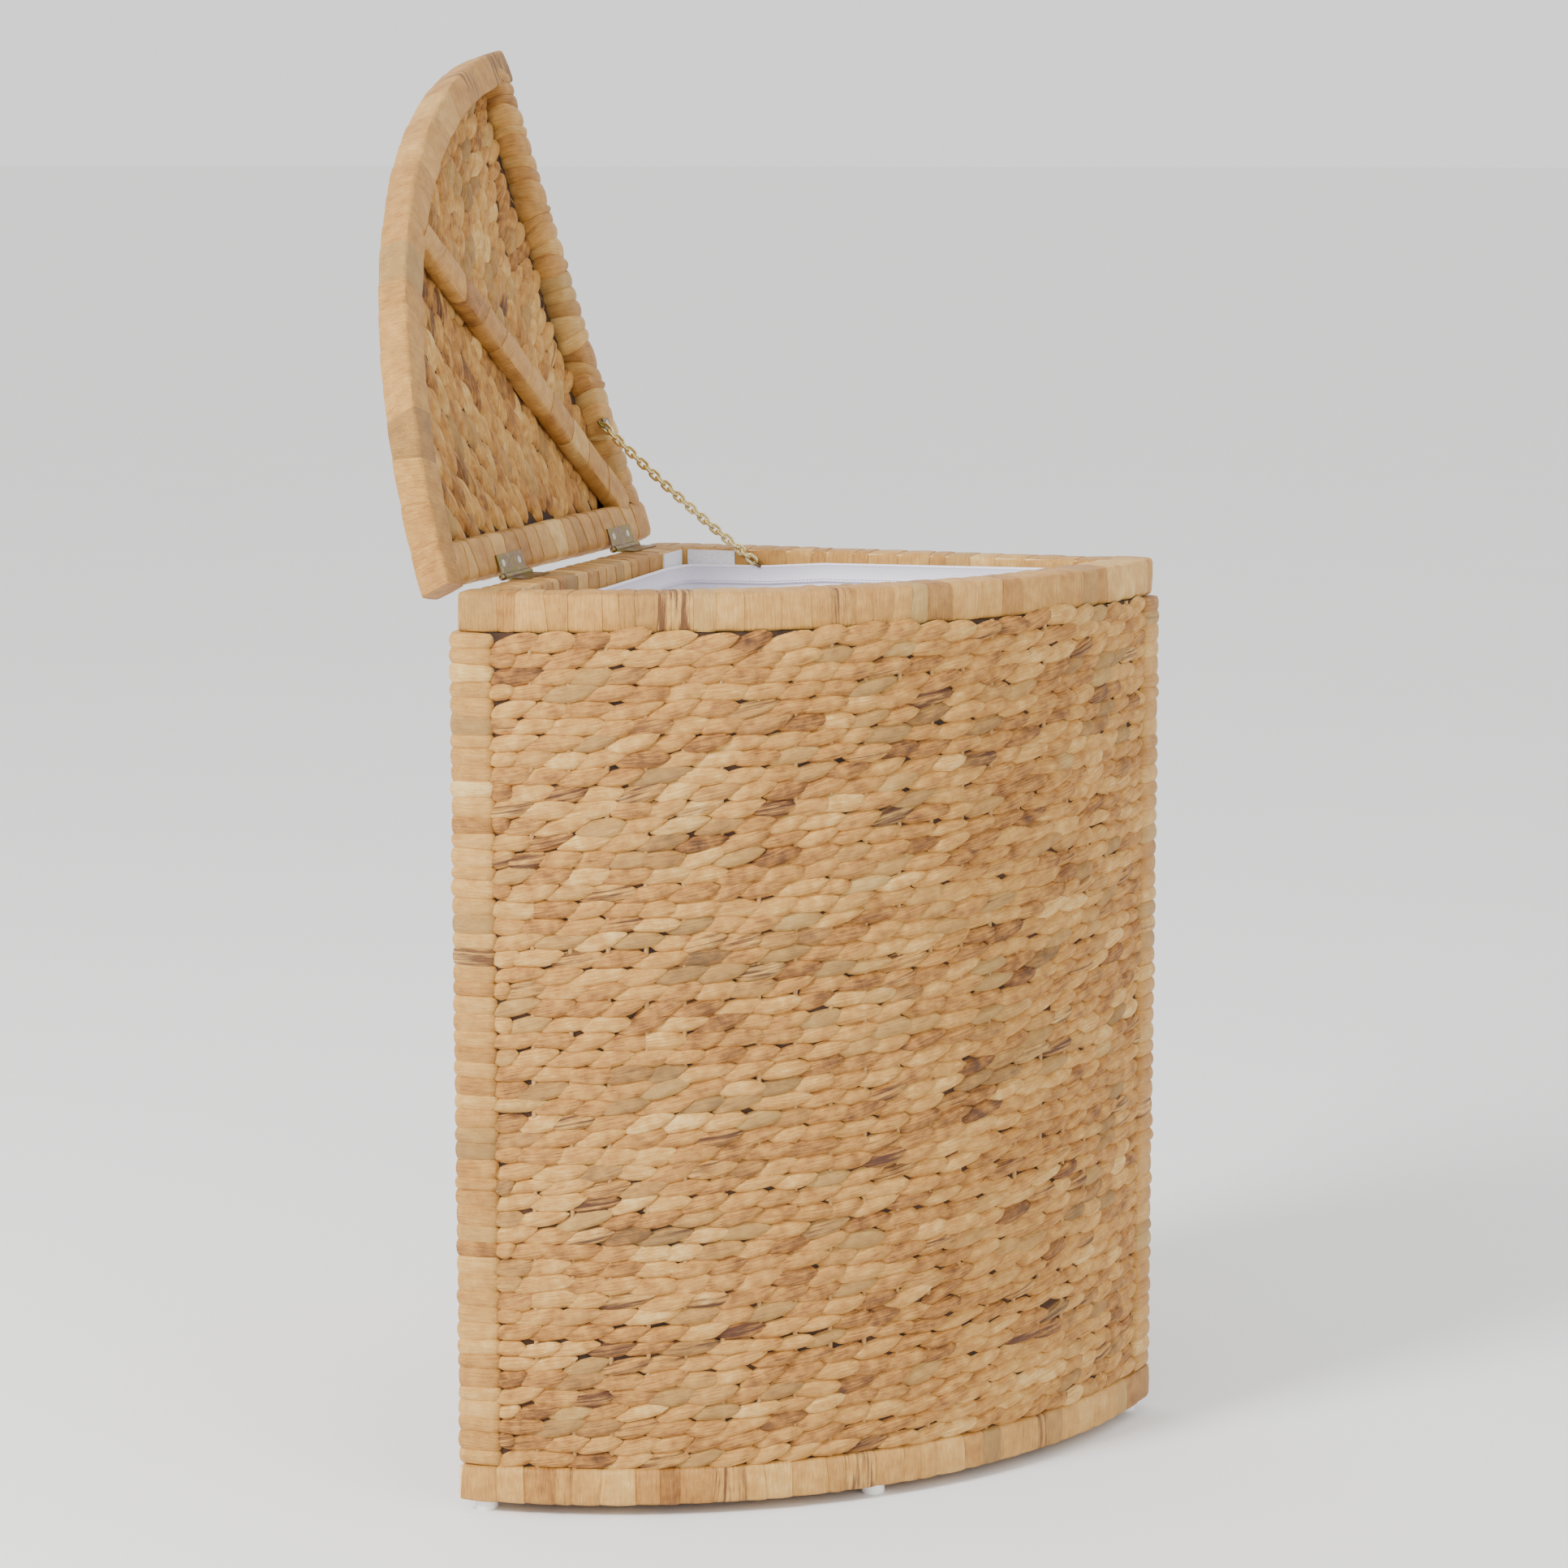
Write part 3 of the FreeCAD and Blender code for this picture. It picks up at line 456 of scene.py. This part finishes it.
def along_bow(radius, height):
    """A path round the bow: s is the length from its middle, to the right."""
    def place(s):
        angle = -math.pi / 4 + s / radius
        out = np.stack([np.cos(angle), np.sin(angle), 0 * s], 1)
        return np.array([BOW_X, BOW_Y, height]) + out * radius, out, np.array([0, 0, 1.0])
    return place


def strip_cuts(dice, low, high, narrow, wide):
    """Where strips of uneven width start along a bar."""
    cuts = [low]
    while cuts[-1] < high - narrow:
        cuts.append(cuts[-1] + dice.uniform(narrow, wide))
    cuts[-1] = high
    return np.array(cuts)


def box_section(wide, tall, radius=0.003, crown=0.0004):
    w, t = wide / 2, tall / 2
    return rounded([(-w, -t), (w, -t), (w, t), (-w, t)], radius, crown)


LAP = (-0.0003, 0.0, 0.0002, 0.0003, 0.0004, 0.0004, 0.0002)
ROLL = (-0.0012, 0.0003, 0.0009, 0.0011, 0.0009, 0.0003, -0.0012)
UP, RIGHTWARD, LEFTWARD, FORWARD = (0, 0, 1), (1, 0, 0), (-1, 0, 0), (0, -1, 0)
NARROW, WIDE, RAIL_LEAN, RAIL_END = 0.010, 0.023, 0.0008, 0.331
rails = []
for level, seed, inset, wide in (("base", 21, 0.0, 0.026), ("rim", 31, 0.005, 0.028)):
    low, high = (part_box(f"right_{level}_rail_binding")[k][2] for k in (0, 1))
    section, middle = box_section(wide - 0.0008, high - low - 0.0008), (low + high) / 2
    centre = FACE - inset - wide / 2
    dice = np.random.default_rng(seed)
    radius = BOW_R - inset - wide / 2
    half = radius * (math.pi / 4 - 0.0925) - inset * 0.6
    cuts = strip_cuts(dice, -half, half, NARROW, WIDE)
    piece = wind(f"{level}_bow_winding", along_bow(radius, middle),
                 box_section(wide, high - low, 0.003, 0.0003), cuts, LAP, dice, RAIL_LEAN)
    rails.append((piece, f"bow_{level}_rail_binding"))
    corner = (-centre, centre, middle)
    cuts = strip_cuts(dice, -wide / 2, RAIL_END + centre, NARROW, WIDE)
    piece = wind(f"{level}_right_winding", straight(corner, RIGHTWARD, FORWARD, UP), section,
                 cuts, LAP, dice, RAIL_LEAN)
    rails.append((piece, f"right_{level}_rail_binding"))
    cuts = strip_cuts(dice, wide / 2 - 0.001, RAIL_END + centre, NARROW, WIDE)
    piece = wind(f"{level}_left_winding", straight(corner, FORWARD, LEFTWARD, UP), section,
                 cuts, LAP, dice, RAIL_LEAN)
    rails.append((piece, f"left_{level}_rail_binding"))
posts = {
    "left_post": [(-0.0136, -0.3553), (0.0138, -0.3523), (0.0138, -0.3195), (-0.0136, -0.3195)],
    "right_post": [(0.3195, -0.0138), (0.3523, -0.0138), (0.3553, 0.0136), (0.3195, 0.0136)],
    "back_post": [(-0.0136, -0.0136), (0.0136, -0.0136), (0.0136, 0.0136), (-0.0136, 0.0136)],
}
for seed, (name, corners) in enumerate(posts.items()):
    dice = np.random.default_rng(41 + seed)
    cuts = WALL_LOW + (WALL_TOP - WALL_LOW) * np.arange(ROWS + 1) / ROWS
    cuts[1:-1] += dice.normal(0, 0.0007, ROWS - 1)
    centre = np.mean(corners, 0)
    section = rounded([(x - centre[0], y - centre[1]) for x, y in corners], 0.0045, 0.0006)
    post = wind(name + "_winding", straight((centre[0], centre[1], 0), UP, RIGHTWARD, (0, 1, 0)),
                section, cuts, ROLL, dice, lean=0.0007, patched=0.08)
    rails.append((post, name))
for piece, covered in rails:
    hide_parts(covered)
    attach(piece, "basket")

# Woven floor: rows of the same strands seen from below, on two pine cross bars.
floor_low, floor_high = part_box("floor_panel")[0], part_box("floor_panel")[1]


def under_floor(u, v, du, dv, out):
    return np.stack([u - du, v + dv, floor_low[2] + 0.0045 - out], 2)


dice = np.random.default_rng(51)
spots = []
for row in range(30):
    y = -0.018 - 0.0112 * row
    place = 0.010 + 0.006 * (row % 2)
    while place < 0.345 and math.hypot(place + 0.012 - BOW_X, y - BOW_Y) < BOW_R - 0.024:
        spots.append((place + 0.012, y, 0.034, 0.0134, 0.0045, dice.normal(0.22, 0.05), 0.0))
        place += dice.normal(0.0245, 0.001)
floor_weave = twine("floor_weave", under_floor, spots, dice)
floor_core = slab("floor_weave_core", [(0.012, -0.012), (0.012, -0.333)]
                  + [(x, y) for x, y in bow_outline(0.38, 0.383, 0.625)[:49]] + [(0.333, -0.012)],
                  floor_low[2] + 0.0045, floor_high[2], painted_shade_hyacinth)
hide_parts("floor_panel")
for piece in (floor_weave, floor_core):
    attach(piece, "basket")

# Lid: a wound frame with a panel twined in arcs round the back corner, and a wound batten across
# the underside. It is made closed, then swung open about the hinge pins.
hinge = next(j for j in frame["record"]["behaviour"]["joints"] if j["name"] == "lid_hinge")
LID_LOW, LID_TOP, OPEN = 0.603, 0.625, math.radians(hinge["range_deg"][1])
CORNER_X, CORNER_Y = -0.009, 0.009


def swing_open(piece):
    x, z = hinge["pos_m"][0], hinge["pos_m"][2]
    points = np.array([v.co[:] for v in piece.data.vertices])
    a, c = points[:, 0] - x, points[:, 2] - z
    points[:, 0] = a * math.cos(OPEN) - c * math.sin(OPEN) + x
    points[:, 2] = a * math.sin(OPEN) + c * math.cos(OPEN) + z
    piece.data.vertices.foreach_set("co", points.astype(np.float32).ravel())
    piece.data.update()
    return piece


def lid_side(side):
    """side 1 is the top and -1 the underside."""
    def place(u, v, du, dv, out):
        reach = v + dv
        angle = -math.pi / 4 - side * (u + du / v)
        return np.stack([CORNER_X + reach * np.cos(angle), CORNER_Y + reach * np.sin(angle),
                         0.6195 + side * out], 2)
    return place


def lid_spots(dice, side):
    spots = []
    for row in range(25):
        radius = 0.043 + 0.0118 * row
        step = 0.0215 / radius
        angle = -math.pi / 4 - step * (0.5 if row % 2 else 0)
        while angle < math.pi / 4:
            x = CORNER_X + radius * math.cos(-math.pi / 4 - side * angle)
            y = CORNER_Y + radius * math.sin(-math.pi / 4 - side * angle)
            if x > 0.022 and y < -0.022 and math.hypot(x - BOW_X, y - BOW_Y) < 0.374:
                turn = angle + dice.normal(0, 0.03) * step
                length = 0.0300 * dice.normal(1, 0.08)
                width = 0.0138 * dice.normal(1, 0.08)
                height = dice.uniform(0.0046, 0.0064)
                spots.append((turn, radius, length, width, height, dice.normal(0.5, 0.08), -0.0004))
            angle += step * dice.normal(1, 0.05)
    return spots


dice = np.random.default_rng(61)
lid_pieces = [
    (twine("lid_weave_under", lid_side(-1), lid_spots(dice, -1), dice), "lid_panel", "hyacinth_weave"),
    (twine("lid_weave_top", lid_side(1), lid_spots(dice, 1), dice), None, "hyacinth_weave"),
    (slab("lid_weave_core", [(0.015, -0.015), (0.015, -0.325)] + bow_outline(0.374, 0.378, 0.615)[:49]
          + [(0.325, -0.015)], 0.6188, 0.6202, painted_shade_hyacinth), "lid_stakes", "hyacinth_weave"),
]
tall = LID_TOP - LID_LOW
middle = (LID_TOP + LID_LOW) / 2
dice = np.random.default_rng(71)
radius = 0.400 - 0.012
half = radius * (math.pi / 4 - 0.0965)
cuts = strip_cuts(dice, -half, half, 0.020, 0.036)
bow_winding = wind("lid_bow_winding", along_bow(radius, middle),
                   box_section(0.0236, tall - 0.0008, 0.0026, 0.0005), cuts, LAP, dice, lean=0.0022)
lid_pieces.append((bow_winding, "lid_bow_rail_binding", "hyacinth_binding"))
cuts = strip_cuts(dice, 0.0185, 0.338, 0.0085, 0.0135)
side_winding = wind("lid_side_winding", straight((0, -0.005, middle), RIGHTWARD, FORWARD, UP),
                    box_section(0.0275, tall - 0.001, 0.006, 0.0008), cuts, ROLL, dice, lean=0.0025)
lid_pieces.append((side_winding, "lid_side_rail", "hyacinth_binding"))
cuts = strip_cuts(dice, -0.0088, 0.338, 0.015, 0.026)
hinge_winding = wind("lid_hinge_winding", straight((0.005, 0, middle), FORWARD, LEFTWARD, UP),
                     box_section(0.0275, tall - 0.001, 0.005, 0.0003), cuts, LAP, dice, lean=0.003)
lid_pieces.append((hinge_winding, "lid_hinge_rail", "hyacinth_binding"))
cuts = strip_cuts(dice, 0.036, 0.324, 0.020, 0.034)
diagonal = math.sqrt(0.5)
batten_path = straight((CORNER_X, CORNER_Y, 0.6093), (diagonal, -diagonal, 0),
                       (-diagonal, -diagonal, 0), UP)
batten_winding = wind("lid_batten_winding", batten_path, box_section(0.0232, 0.0118, 0.0024, 0.0008),
                      cuts, LAP, dice, lean=0.0035)
lid_pieces.append((batten_winding, "lid_batten_binding", "hyacinth_binding"))
for piece, covered, finish in lid_pieces:
    swing_open(piece)
    if covered:
        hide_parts(covered)
    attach(piece, "lid")

# Liner: a white polycotton bag with a folded, stitched hem, hung inside the basket by two pairs of
# hook and loop strips on the rim by the back corner. It sags a little between them.
dice = np.random.default_rng(81)
# Polycotton, plain weave, cool white: matt with a soft sheen and a fine thread.
cotton, tree, shader = shader_of("white_polycotton")
shader.inputs["Roughness"].default_value = 0.85
shader.inputs["Sheen Weight"].default_value = 0.25
spot = node(tree, "ShaderNodeTexCoord").outputs["Object"]
wash = node(tree, "ShaderNodeTexNoise", values={"Scale": 12, "Detail": 2}, links={"Vector": spot})
tint = node(tree, "ShaderNodeValToRGB", links={"Fac": wash.outputs["Fac"]},
            stops=[(0.3, "DEDAE6"), (0.7, "E6E3ED")])
tree.links.new(tint.outputs["Color"], shader.inputs["Base Color"])
# Threads are 0.4 mm apart, drawn at 1.2 mm so that they show.
weft, warp = (node(tree, "ShaderNodeTexWave", {"bands_direction": way}, {"Vector": spot},
                   {"Scale": 260, "Distortion": 1}) for way in ("X", "Z"))
cloth_height = node(tree, "ShaderNodeMath", {"operation": "ADD"},
                    {0: weft.outputs["Fac"], 1: warp.outputs["Fac"]})
relief = node(tree, "ShaderNodeBump", links={"Height": cloth_height.outputs[0]},
              values={"Strength": 0.25, "Distance": 0.0003})
tree.links.new(relief.outputs["Normal"], shader.inputs["Normal"])


def liner_loop(inset, count=360):
    """The liner's outline at an inset, from the back corner by the right wall and the bow, and back."""
    reach = BOW_R - inset
    edge = FACE - inset
    far = BOW_X + math.sqrt(reach ** 2 - (edge - BOW_Y) ** 2)
    angle = math.atan2(edge - BOW_Y, far - BOW_X)
    arc = [(BOW_X + reach * math.cos(a), BOW_Y + reach * math.sin(a))
           for a in np.linspace(angle, -math.pi / 2 - angle, 80)]
    line = [(-edge, edge)] + arc + [(-edge, edge)]
    line = np.array(line)
    run = np.append(0, np.cumsum(np.linalg.norm(np.diff(line, axis=0), axis=1)))
    place = np.linspace(0, run[-1], count, endpoint=False)
    loop = np.stack([np.interp(place, run, line[:, k]) for k in (0, 1)], 1)
    for _ in range(14):
        loop = (np.roll(loop, 1, 0) + loop * 2 + np.roll(loop, -1, 0)) / 4
    return loop, place / run[-1]


loop, share = liner_loop(0.0362)
inward = np.roll(loop, -1, 0) - np.roll(loop, 1, 0)
inward = np.stack([inward[:, 1], -inward[:, 0]], 1) / np.linalg.norm(inward, axis=1)[:, None]
inward *= np.sign(np.sum(inward * (np.array([0.13, -0.13]) - loop), 1))[:, None]
LINER_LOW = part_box("liner_bottom")[0][2]
HEM_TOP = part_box("liner_hem")[1][2]
lift = np.interp(share, [0, 0.06, 0.1, 0.27, 0.31, 0.38, 0.62, 0.7, 0.85, 0.96, 1],
                 [0.003, 0.004, 0.007, 0.009, 0.012, 0.002, 0.001, 0.004, 0.002, 0.004, 0.003])
folds = sum(np.sin(2 * math.pi * share * k + dice.uniform(0, 6)) / k ** 0.5 for k in (5, 9, 14, 23, 31))
folds = np.clip(folds, -2, 2) * 0.25 + 0.5


def liner_ring(height, depth, top_lift=1.0):
    return np.column_stack([loop + inward * (depth * folds[:, None]), height + lift * top_lift])


def band(name, rings, material, thickness):
    """A closed sheet from rings of points, given its thickness towards the inside."""
    count, rows = len(rings[0]), len(rings)
    faces = []
    for low in range(0, (rows - 1) * count, count):
        for j in range(count):
            after = (j + 1) % count
            faces.append([low + j, low + count + j, low + count + after, low + after])
    mesh = bpy.data.meshes.new(name)
    mesh.from_pydata([tuple(p) for p in np.concatenate(rings)], [], faces)
    piece = bpy.data.objects.new(name, mesh)
    bpy.context.scene.collection.objects.link(piece)
    dress(piece, material)
    bpy.ops.object.select_all(action="DESELECT")
    piece.select_set(True)
    bpy.context.view_layer.objects.active = piece
    bpy.ops.object.mode_set(mode="EDIT")
    bpy.ops.mesh.select_all(action="SELECT")
    bpy.ops.mesh.normals_make_consistent(inside=False)
    bpy.ops.object.mode_set(mode="OBJECT")
    thick = piece.modifiers.new("cloth", "SOLIDIFY")
    thick.thickness = thickness
    thick.offset = -1
    bpy.ops.object.modifier_apply(modifier="cloth")
    bpy.ops.object.shade_smooth_by_angle(angle=math.radians(50))
    return piece


heights = [(LINER_LOW + 0.002, 0.0, 0), (LINER_LOW + 0.03, 0.001, 0), (0.12, 0.0025, 0), (0.22, 0.003, 0.1),
           (0.32, 0.0035, 0.2), (0.42, 0.0035, 0.45), (0.5, 0.003, 0.7), (0.55, 0.0022, 0.9),
           (HEM_TOP - 0.015, 0.0015, 1), (HEM_TOP - 0.0135, 0.0012, 1)]
liner_wall = band("liner_wall_cloth", [liner_ring(h, d, t) for h, d, t in heights], cotton, 0.0008)
hem_rings = [liner_ring(HEM_TOP + dz, 0.0012, 1) + np.column_stack([inward * puff, 0 * share])
             for dz, puff in ((-0.0145, 0.0004), (-0.0135, -0.0006), (-0.0125, 0.0), (-0.0115, -0.0008),
                              (-0.007, -0.0010), (-0.002, -0.0008), (0, 0.0002))]
liner_hem = band("liner_hem_cloth", hem_rings, cotton, 0.0024)
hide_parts("liner_wall")
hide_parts("liner_hem")

stitch_points, stitch_faces = [], []
for j in range(len(loop)):
    here = loop[j] + inward[j] * (0.0012 * folds[j] + 0.0026)
    side = np.array([-inward[j][1], inward[j][0]])
    z = HEM_TOP - 0.0108 + lift[j]
    base = len(stitch_points)
    for a, r in ((-0.0011, 0.0001), (-0.0005, 0.0004), (0.0005, 0.0004), (0.0011, 0.0001)):
        for p, q in ((0, 1), (1, 0), (0, -1), (-1, 0)):
            at = here + side * a + inward[j] * (p * r)
            stitch_points.append((at[0], at[1], z + q * r))
    for k in range(3):
        for m in range(4):
            n = (m + 1) % 4
            ring = base + 4 * k
            stitch_faces.append([ring + m, ring + n, ring + 4 + n, ring + 4 + m])
    stitch_faces.append([base + 3, base + 2, base + 1, base])
    stitch_faces.append([base + 12, base + 13, base + 14, base + 15])
mesh = bpy.data.meshes.new("hem_stitching")
mesh.from_pydata(stitch_points, [], stitch_faces)
stitching = bpy.data.objects.new("hem_stitching", mesh)
bpy.context.scene.collection.objects.link(stitching)
bpy.ops.object.select_all(action="DESELECT")
stitching.select_set(True)
bpy.context.view_layer.objects.active = stitching
bpy.ops.object.mode_set(mode="EDIT")
bpy.ops.mesh.select_all(action="SELECT")
bpy.ops.mesh.normals_make_consistent(inside=False)
bpy.ops.object.mode_set(mode="OBJECT")
dress(stitching, cotton)

bottom_rings = []
for k in range(1, 19):
    scale = k / 18
    centre = np.array([0.12, -0.12])
    flat = centre + (loop + inward * 0.0008 - centre) * scale
    swell = 0.0006 * np.sin(flat[:, 0] * 60 + 2 * np.sin(flat[:, 1] * 35)) * (1 - scale ** 4)
    bottom_rings.append(np.column_stack([flat, LINER_LOW + 0.0012 + swell]))
liner_bottom = band("liner_bottom_cloth", bottom_rings[::-1], cotton, 0.0008)
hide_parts("liner_bottom")
for piece in (liner_wall, liner_hem, stitching, liner_bottom):
    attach(piece, "basket")


# Hardware, bars, stakes and feet: stock parts of steel, wood, nylon and plastic, fixed by screws
# and nails. Their shapes are as built, so each only gets the finish of the real thing.
def finish(material, *names):
    for name in names:
        dress(bpy.data.objects[frame["nodes"][name].name], material)


# Hook and loop tape, white nylon: a short fuzzy pile.
tape, tree, shader = shader_of("nylon_hook_and_loop")
shader.inputs["Roughness"].default_value = 0.95
spot = node(tree, "ShaderNodeTexCoord").outputs["Object"]
pile = node(tree, "ShaderNodeTexVoronoi", values={"Scale": 1200}, links={"Vector": spot})
tint = node(tree, "ShaderNodeValToRGB", links={"Fac": pile.outputs["Distance"]},
            stops=[(0, "F4F3F5"), (0.7, "D9D7DC")])
tree.links.new(tint.outputs["Color"], shader.inputs["Base Color"])
hooks = node(tree, "ShaderNodeBump", links={"Height": pile.outputs["Distance"]},
             values={"Strength": 0.6, "Distance": 0.0004})
tree.links.new(hooks.outputs["Normal"], shader.inputs["Normal"])
finish(tape, "hook_strips", "loop_strips")

# Planed pine, hidden under the windings and bare on the cross bars: pale, with long grain.
pine, tree, shader = shader_of("planed_pine")
shader.inputs["Roughness"].default_value = 0.6
grain_place = node(tree, "ShaderNodeMapping", values={"Scale": (30, 400, 400)},
                   links={"Vector": node(tree, "ShaderNodeTexCoord").outputs["Object"]})
grain = node(tree, "ShaderNodeTexNoise", values={"Scale": 1, "Detail": 4},
             links={"Vector": grain_place.outputs["Vector"]})
tint = node(tree, "ShaderNodeValToRGB", links={"Fac": grain.outputs["Fac"]},
            stops=[(0.2, "C59A63"), (0.5, "E2C391"), (0.8, "EED6A9")])
tree.links.new(tint.outputs["Color"], shader.inputs["Base Color"])
figure = node(tree, "ShaderNodeBump", links={"Height": grain.outputs["Fac"]},
              values={"Strength": 0.3, "Distance": 0.0004})
tree.links.new(figure.outputs["Normal"], shader.inputs["Normal"])
finish(pine, "back_cross_bar", "front_cross_bar", "lid_batten", "lid_bow_rail",
       *(f"{side}_{level}_rail" for side in ("left", "right", "bow") for level in ("base", "rim")))

# Rattan core stakes, showing as small pale bits between the leaves; their tan brown, darker than bare
# rattan, is painted shade of the gaps they sit in.
core, tree, shader = shader_of("rattan_core")
shader.inputs["Roughness"].default_value = 0.7
pith = node(tree, "ShaderNodeTexNoise", values={"Scale": 900, "Detail": 3},
            links={"Vector": node(tree, "ShaderNodeTexCoord").outputs["Object"]})
tint = node(tree, "ShaderNodeValToRGB", links={"Fac": pith.outputs["Fac"]},
            stops=[(0.3, "8C6532"), (0.7, "B98F55")])
tree.links.new(tint.outputs["Color"], shader.inputs["Base Color"])
finish(core, "bow_stakes", "left_stakes", "right_stakes")


def metal(name, colours, rough, patch, scratch):
    """Plated steel with faint stains; patch and scratch are the marks' sizes per metre."""
    material, tree, shader = shader_of(name)
    shader.inputs["Metallic"].default_value = 1
    spot = node(tree, "ShaderNodeTexCoord").outputs["Object"]
    stain = node(tree, "ShaderNodeTexNoise", values={"Scale": patch, "Detail": 3}, links={"Vector": spot})
    tint = node(tree, "ShaderNodeValToRGB", links={"Fac": stain.outputs["Fac"]},
                stops=colours)
    tree.links.new(tint.outputs["Color"], shader.inputs["Base Color"])
    wear = node(tree, "ShaderNodeTexNoise", values={"Scale": scratch, "Detail": 4}, links={"Vector": spot})
    polish = node(tree, "ShaderNodeMapRange", links={"Value": wear.outputs["Fac"]},
                  values={"To Min": rough - 0.1, "To Max": rough + 0.15})
    tree.links.new(polish.outputs["Result"], shader.inputs["Roughness"])
    dent = node(tree, "ShaderNodeBump", links={"Height": wear.outputs["Fac"]},
                values={"Strength": 0.15, "Distance": 0.0002})
    tree.links.new(dent.outputs["Normal"], shader.inputs["Normal"])
    return material


# Steel with yellow passivated zinc: brass colour that drifts to olive and mauve.
yellow_zinc = metal("yellow_zinc_steel", [(0.3, "6E6836"), (0.45, "8A7A3E"), (0.55, "7D5F58"),
                                          (0.7, "9A8A50")], 0.36, 160, 900)
finish(yellow_zinc, *(f"{place}_hinge_{part}" for place in ("front", "back")
                      for part in ("rim_leaf", "lid_leaf", "pin")), "chain_rim_eye", "chain_lid_lug")
# Bright zinc screws and nails.
bright_zinc = metal("bright_zinc_steel", [(0.3, "A9A79A"), (0.7, "C9C6B4")], 0.34, 200, 1200)
finish(bright_zinc, "hinge_rim_screws", "hinge_lid_screws", "chain_lug_screw", "frame_screws", "foot_nails")

# Moulded polyethylene feet: soft white, very slightly textured.
plastic, tree, shader = shader_of("moulded_polyethylene")
shader.inputs["Roughness"].default_value = 0.45
shader.inputs["Subsurface Weight"].default_value = 0.1
shader.inputs["Subsurface Scale"].default_value = 0.003
skin = node(tree, "ShaderNodeTexNoise", values={"Scale": 1500, "Detail": 2},
            links={"Vector": node(tree, "ShaderNodeTexCoord").outputs["Object"]})
tint = node(tree, "ShaderNodeValToRGB", links={"Fac": skin.outputs["Fac"]},
            stops=[(0.3, "ECECEA"), (0.7, "F6F6F4")])
tree.links.new(tint.outputs["Color"], shader.inputs["Base Color"])
texture = node(tree, "ShaderNodeBump", links={"Height": skin.outputs["Fac"]},
               values={"Strength": 0.1, "Distance": 0.0001})
tree.links.new(texture.outputs["Normal"], shader.inputs["Normal"])
finish(plastic, "back_foot", "left_foot", "right_foot", "bow_foot")

# Stay chain: stamped brass-plated links from the screw eye in the rim to the lug on the lid.
# It goes slack inside the basket as the lid closes.
# Brass plate, bright.
brass = metal("bright_brass_plate", [(0.3, "D6C487"), (0.7, "F0E3B0")], 0.24, 220, 1500)
bpy.ops.object.select_all(action="DESELECT")
links = frame["nodes"]["stay_chain"].copy()
links.data = links.data.copy()
links.name = "stay_chain_links"
links.parent = None
bpy.context.scene.collection.objects.link(links)
links.select_set(True)
bpy.context.view_layer.objects.active = links
bpy.ops.object.mode_set(mode="EDIT")
bpy.ops.mesh.select_all(action="SELECT")
bpy.ops.mesh.remove_doubles(threshold=0.00002)
bpy.ops.object.mode_set(mode="OBJECT")
rounding = links.modifiers.new("rounding", "BEVEL")
rounding.width = 0.00025
rounding.segments = 2
rounding.angle_limit = math.radians(50)
bpy.ops.object.modifier_apply(modifier="rounding")
bpy.ops.object.shade_smooth_by_angle(angle=math.radians(40))
dress(links, brass)
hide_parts("stay_chain")
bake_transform(links)
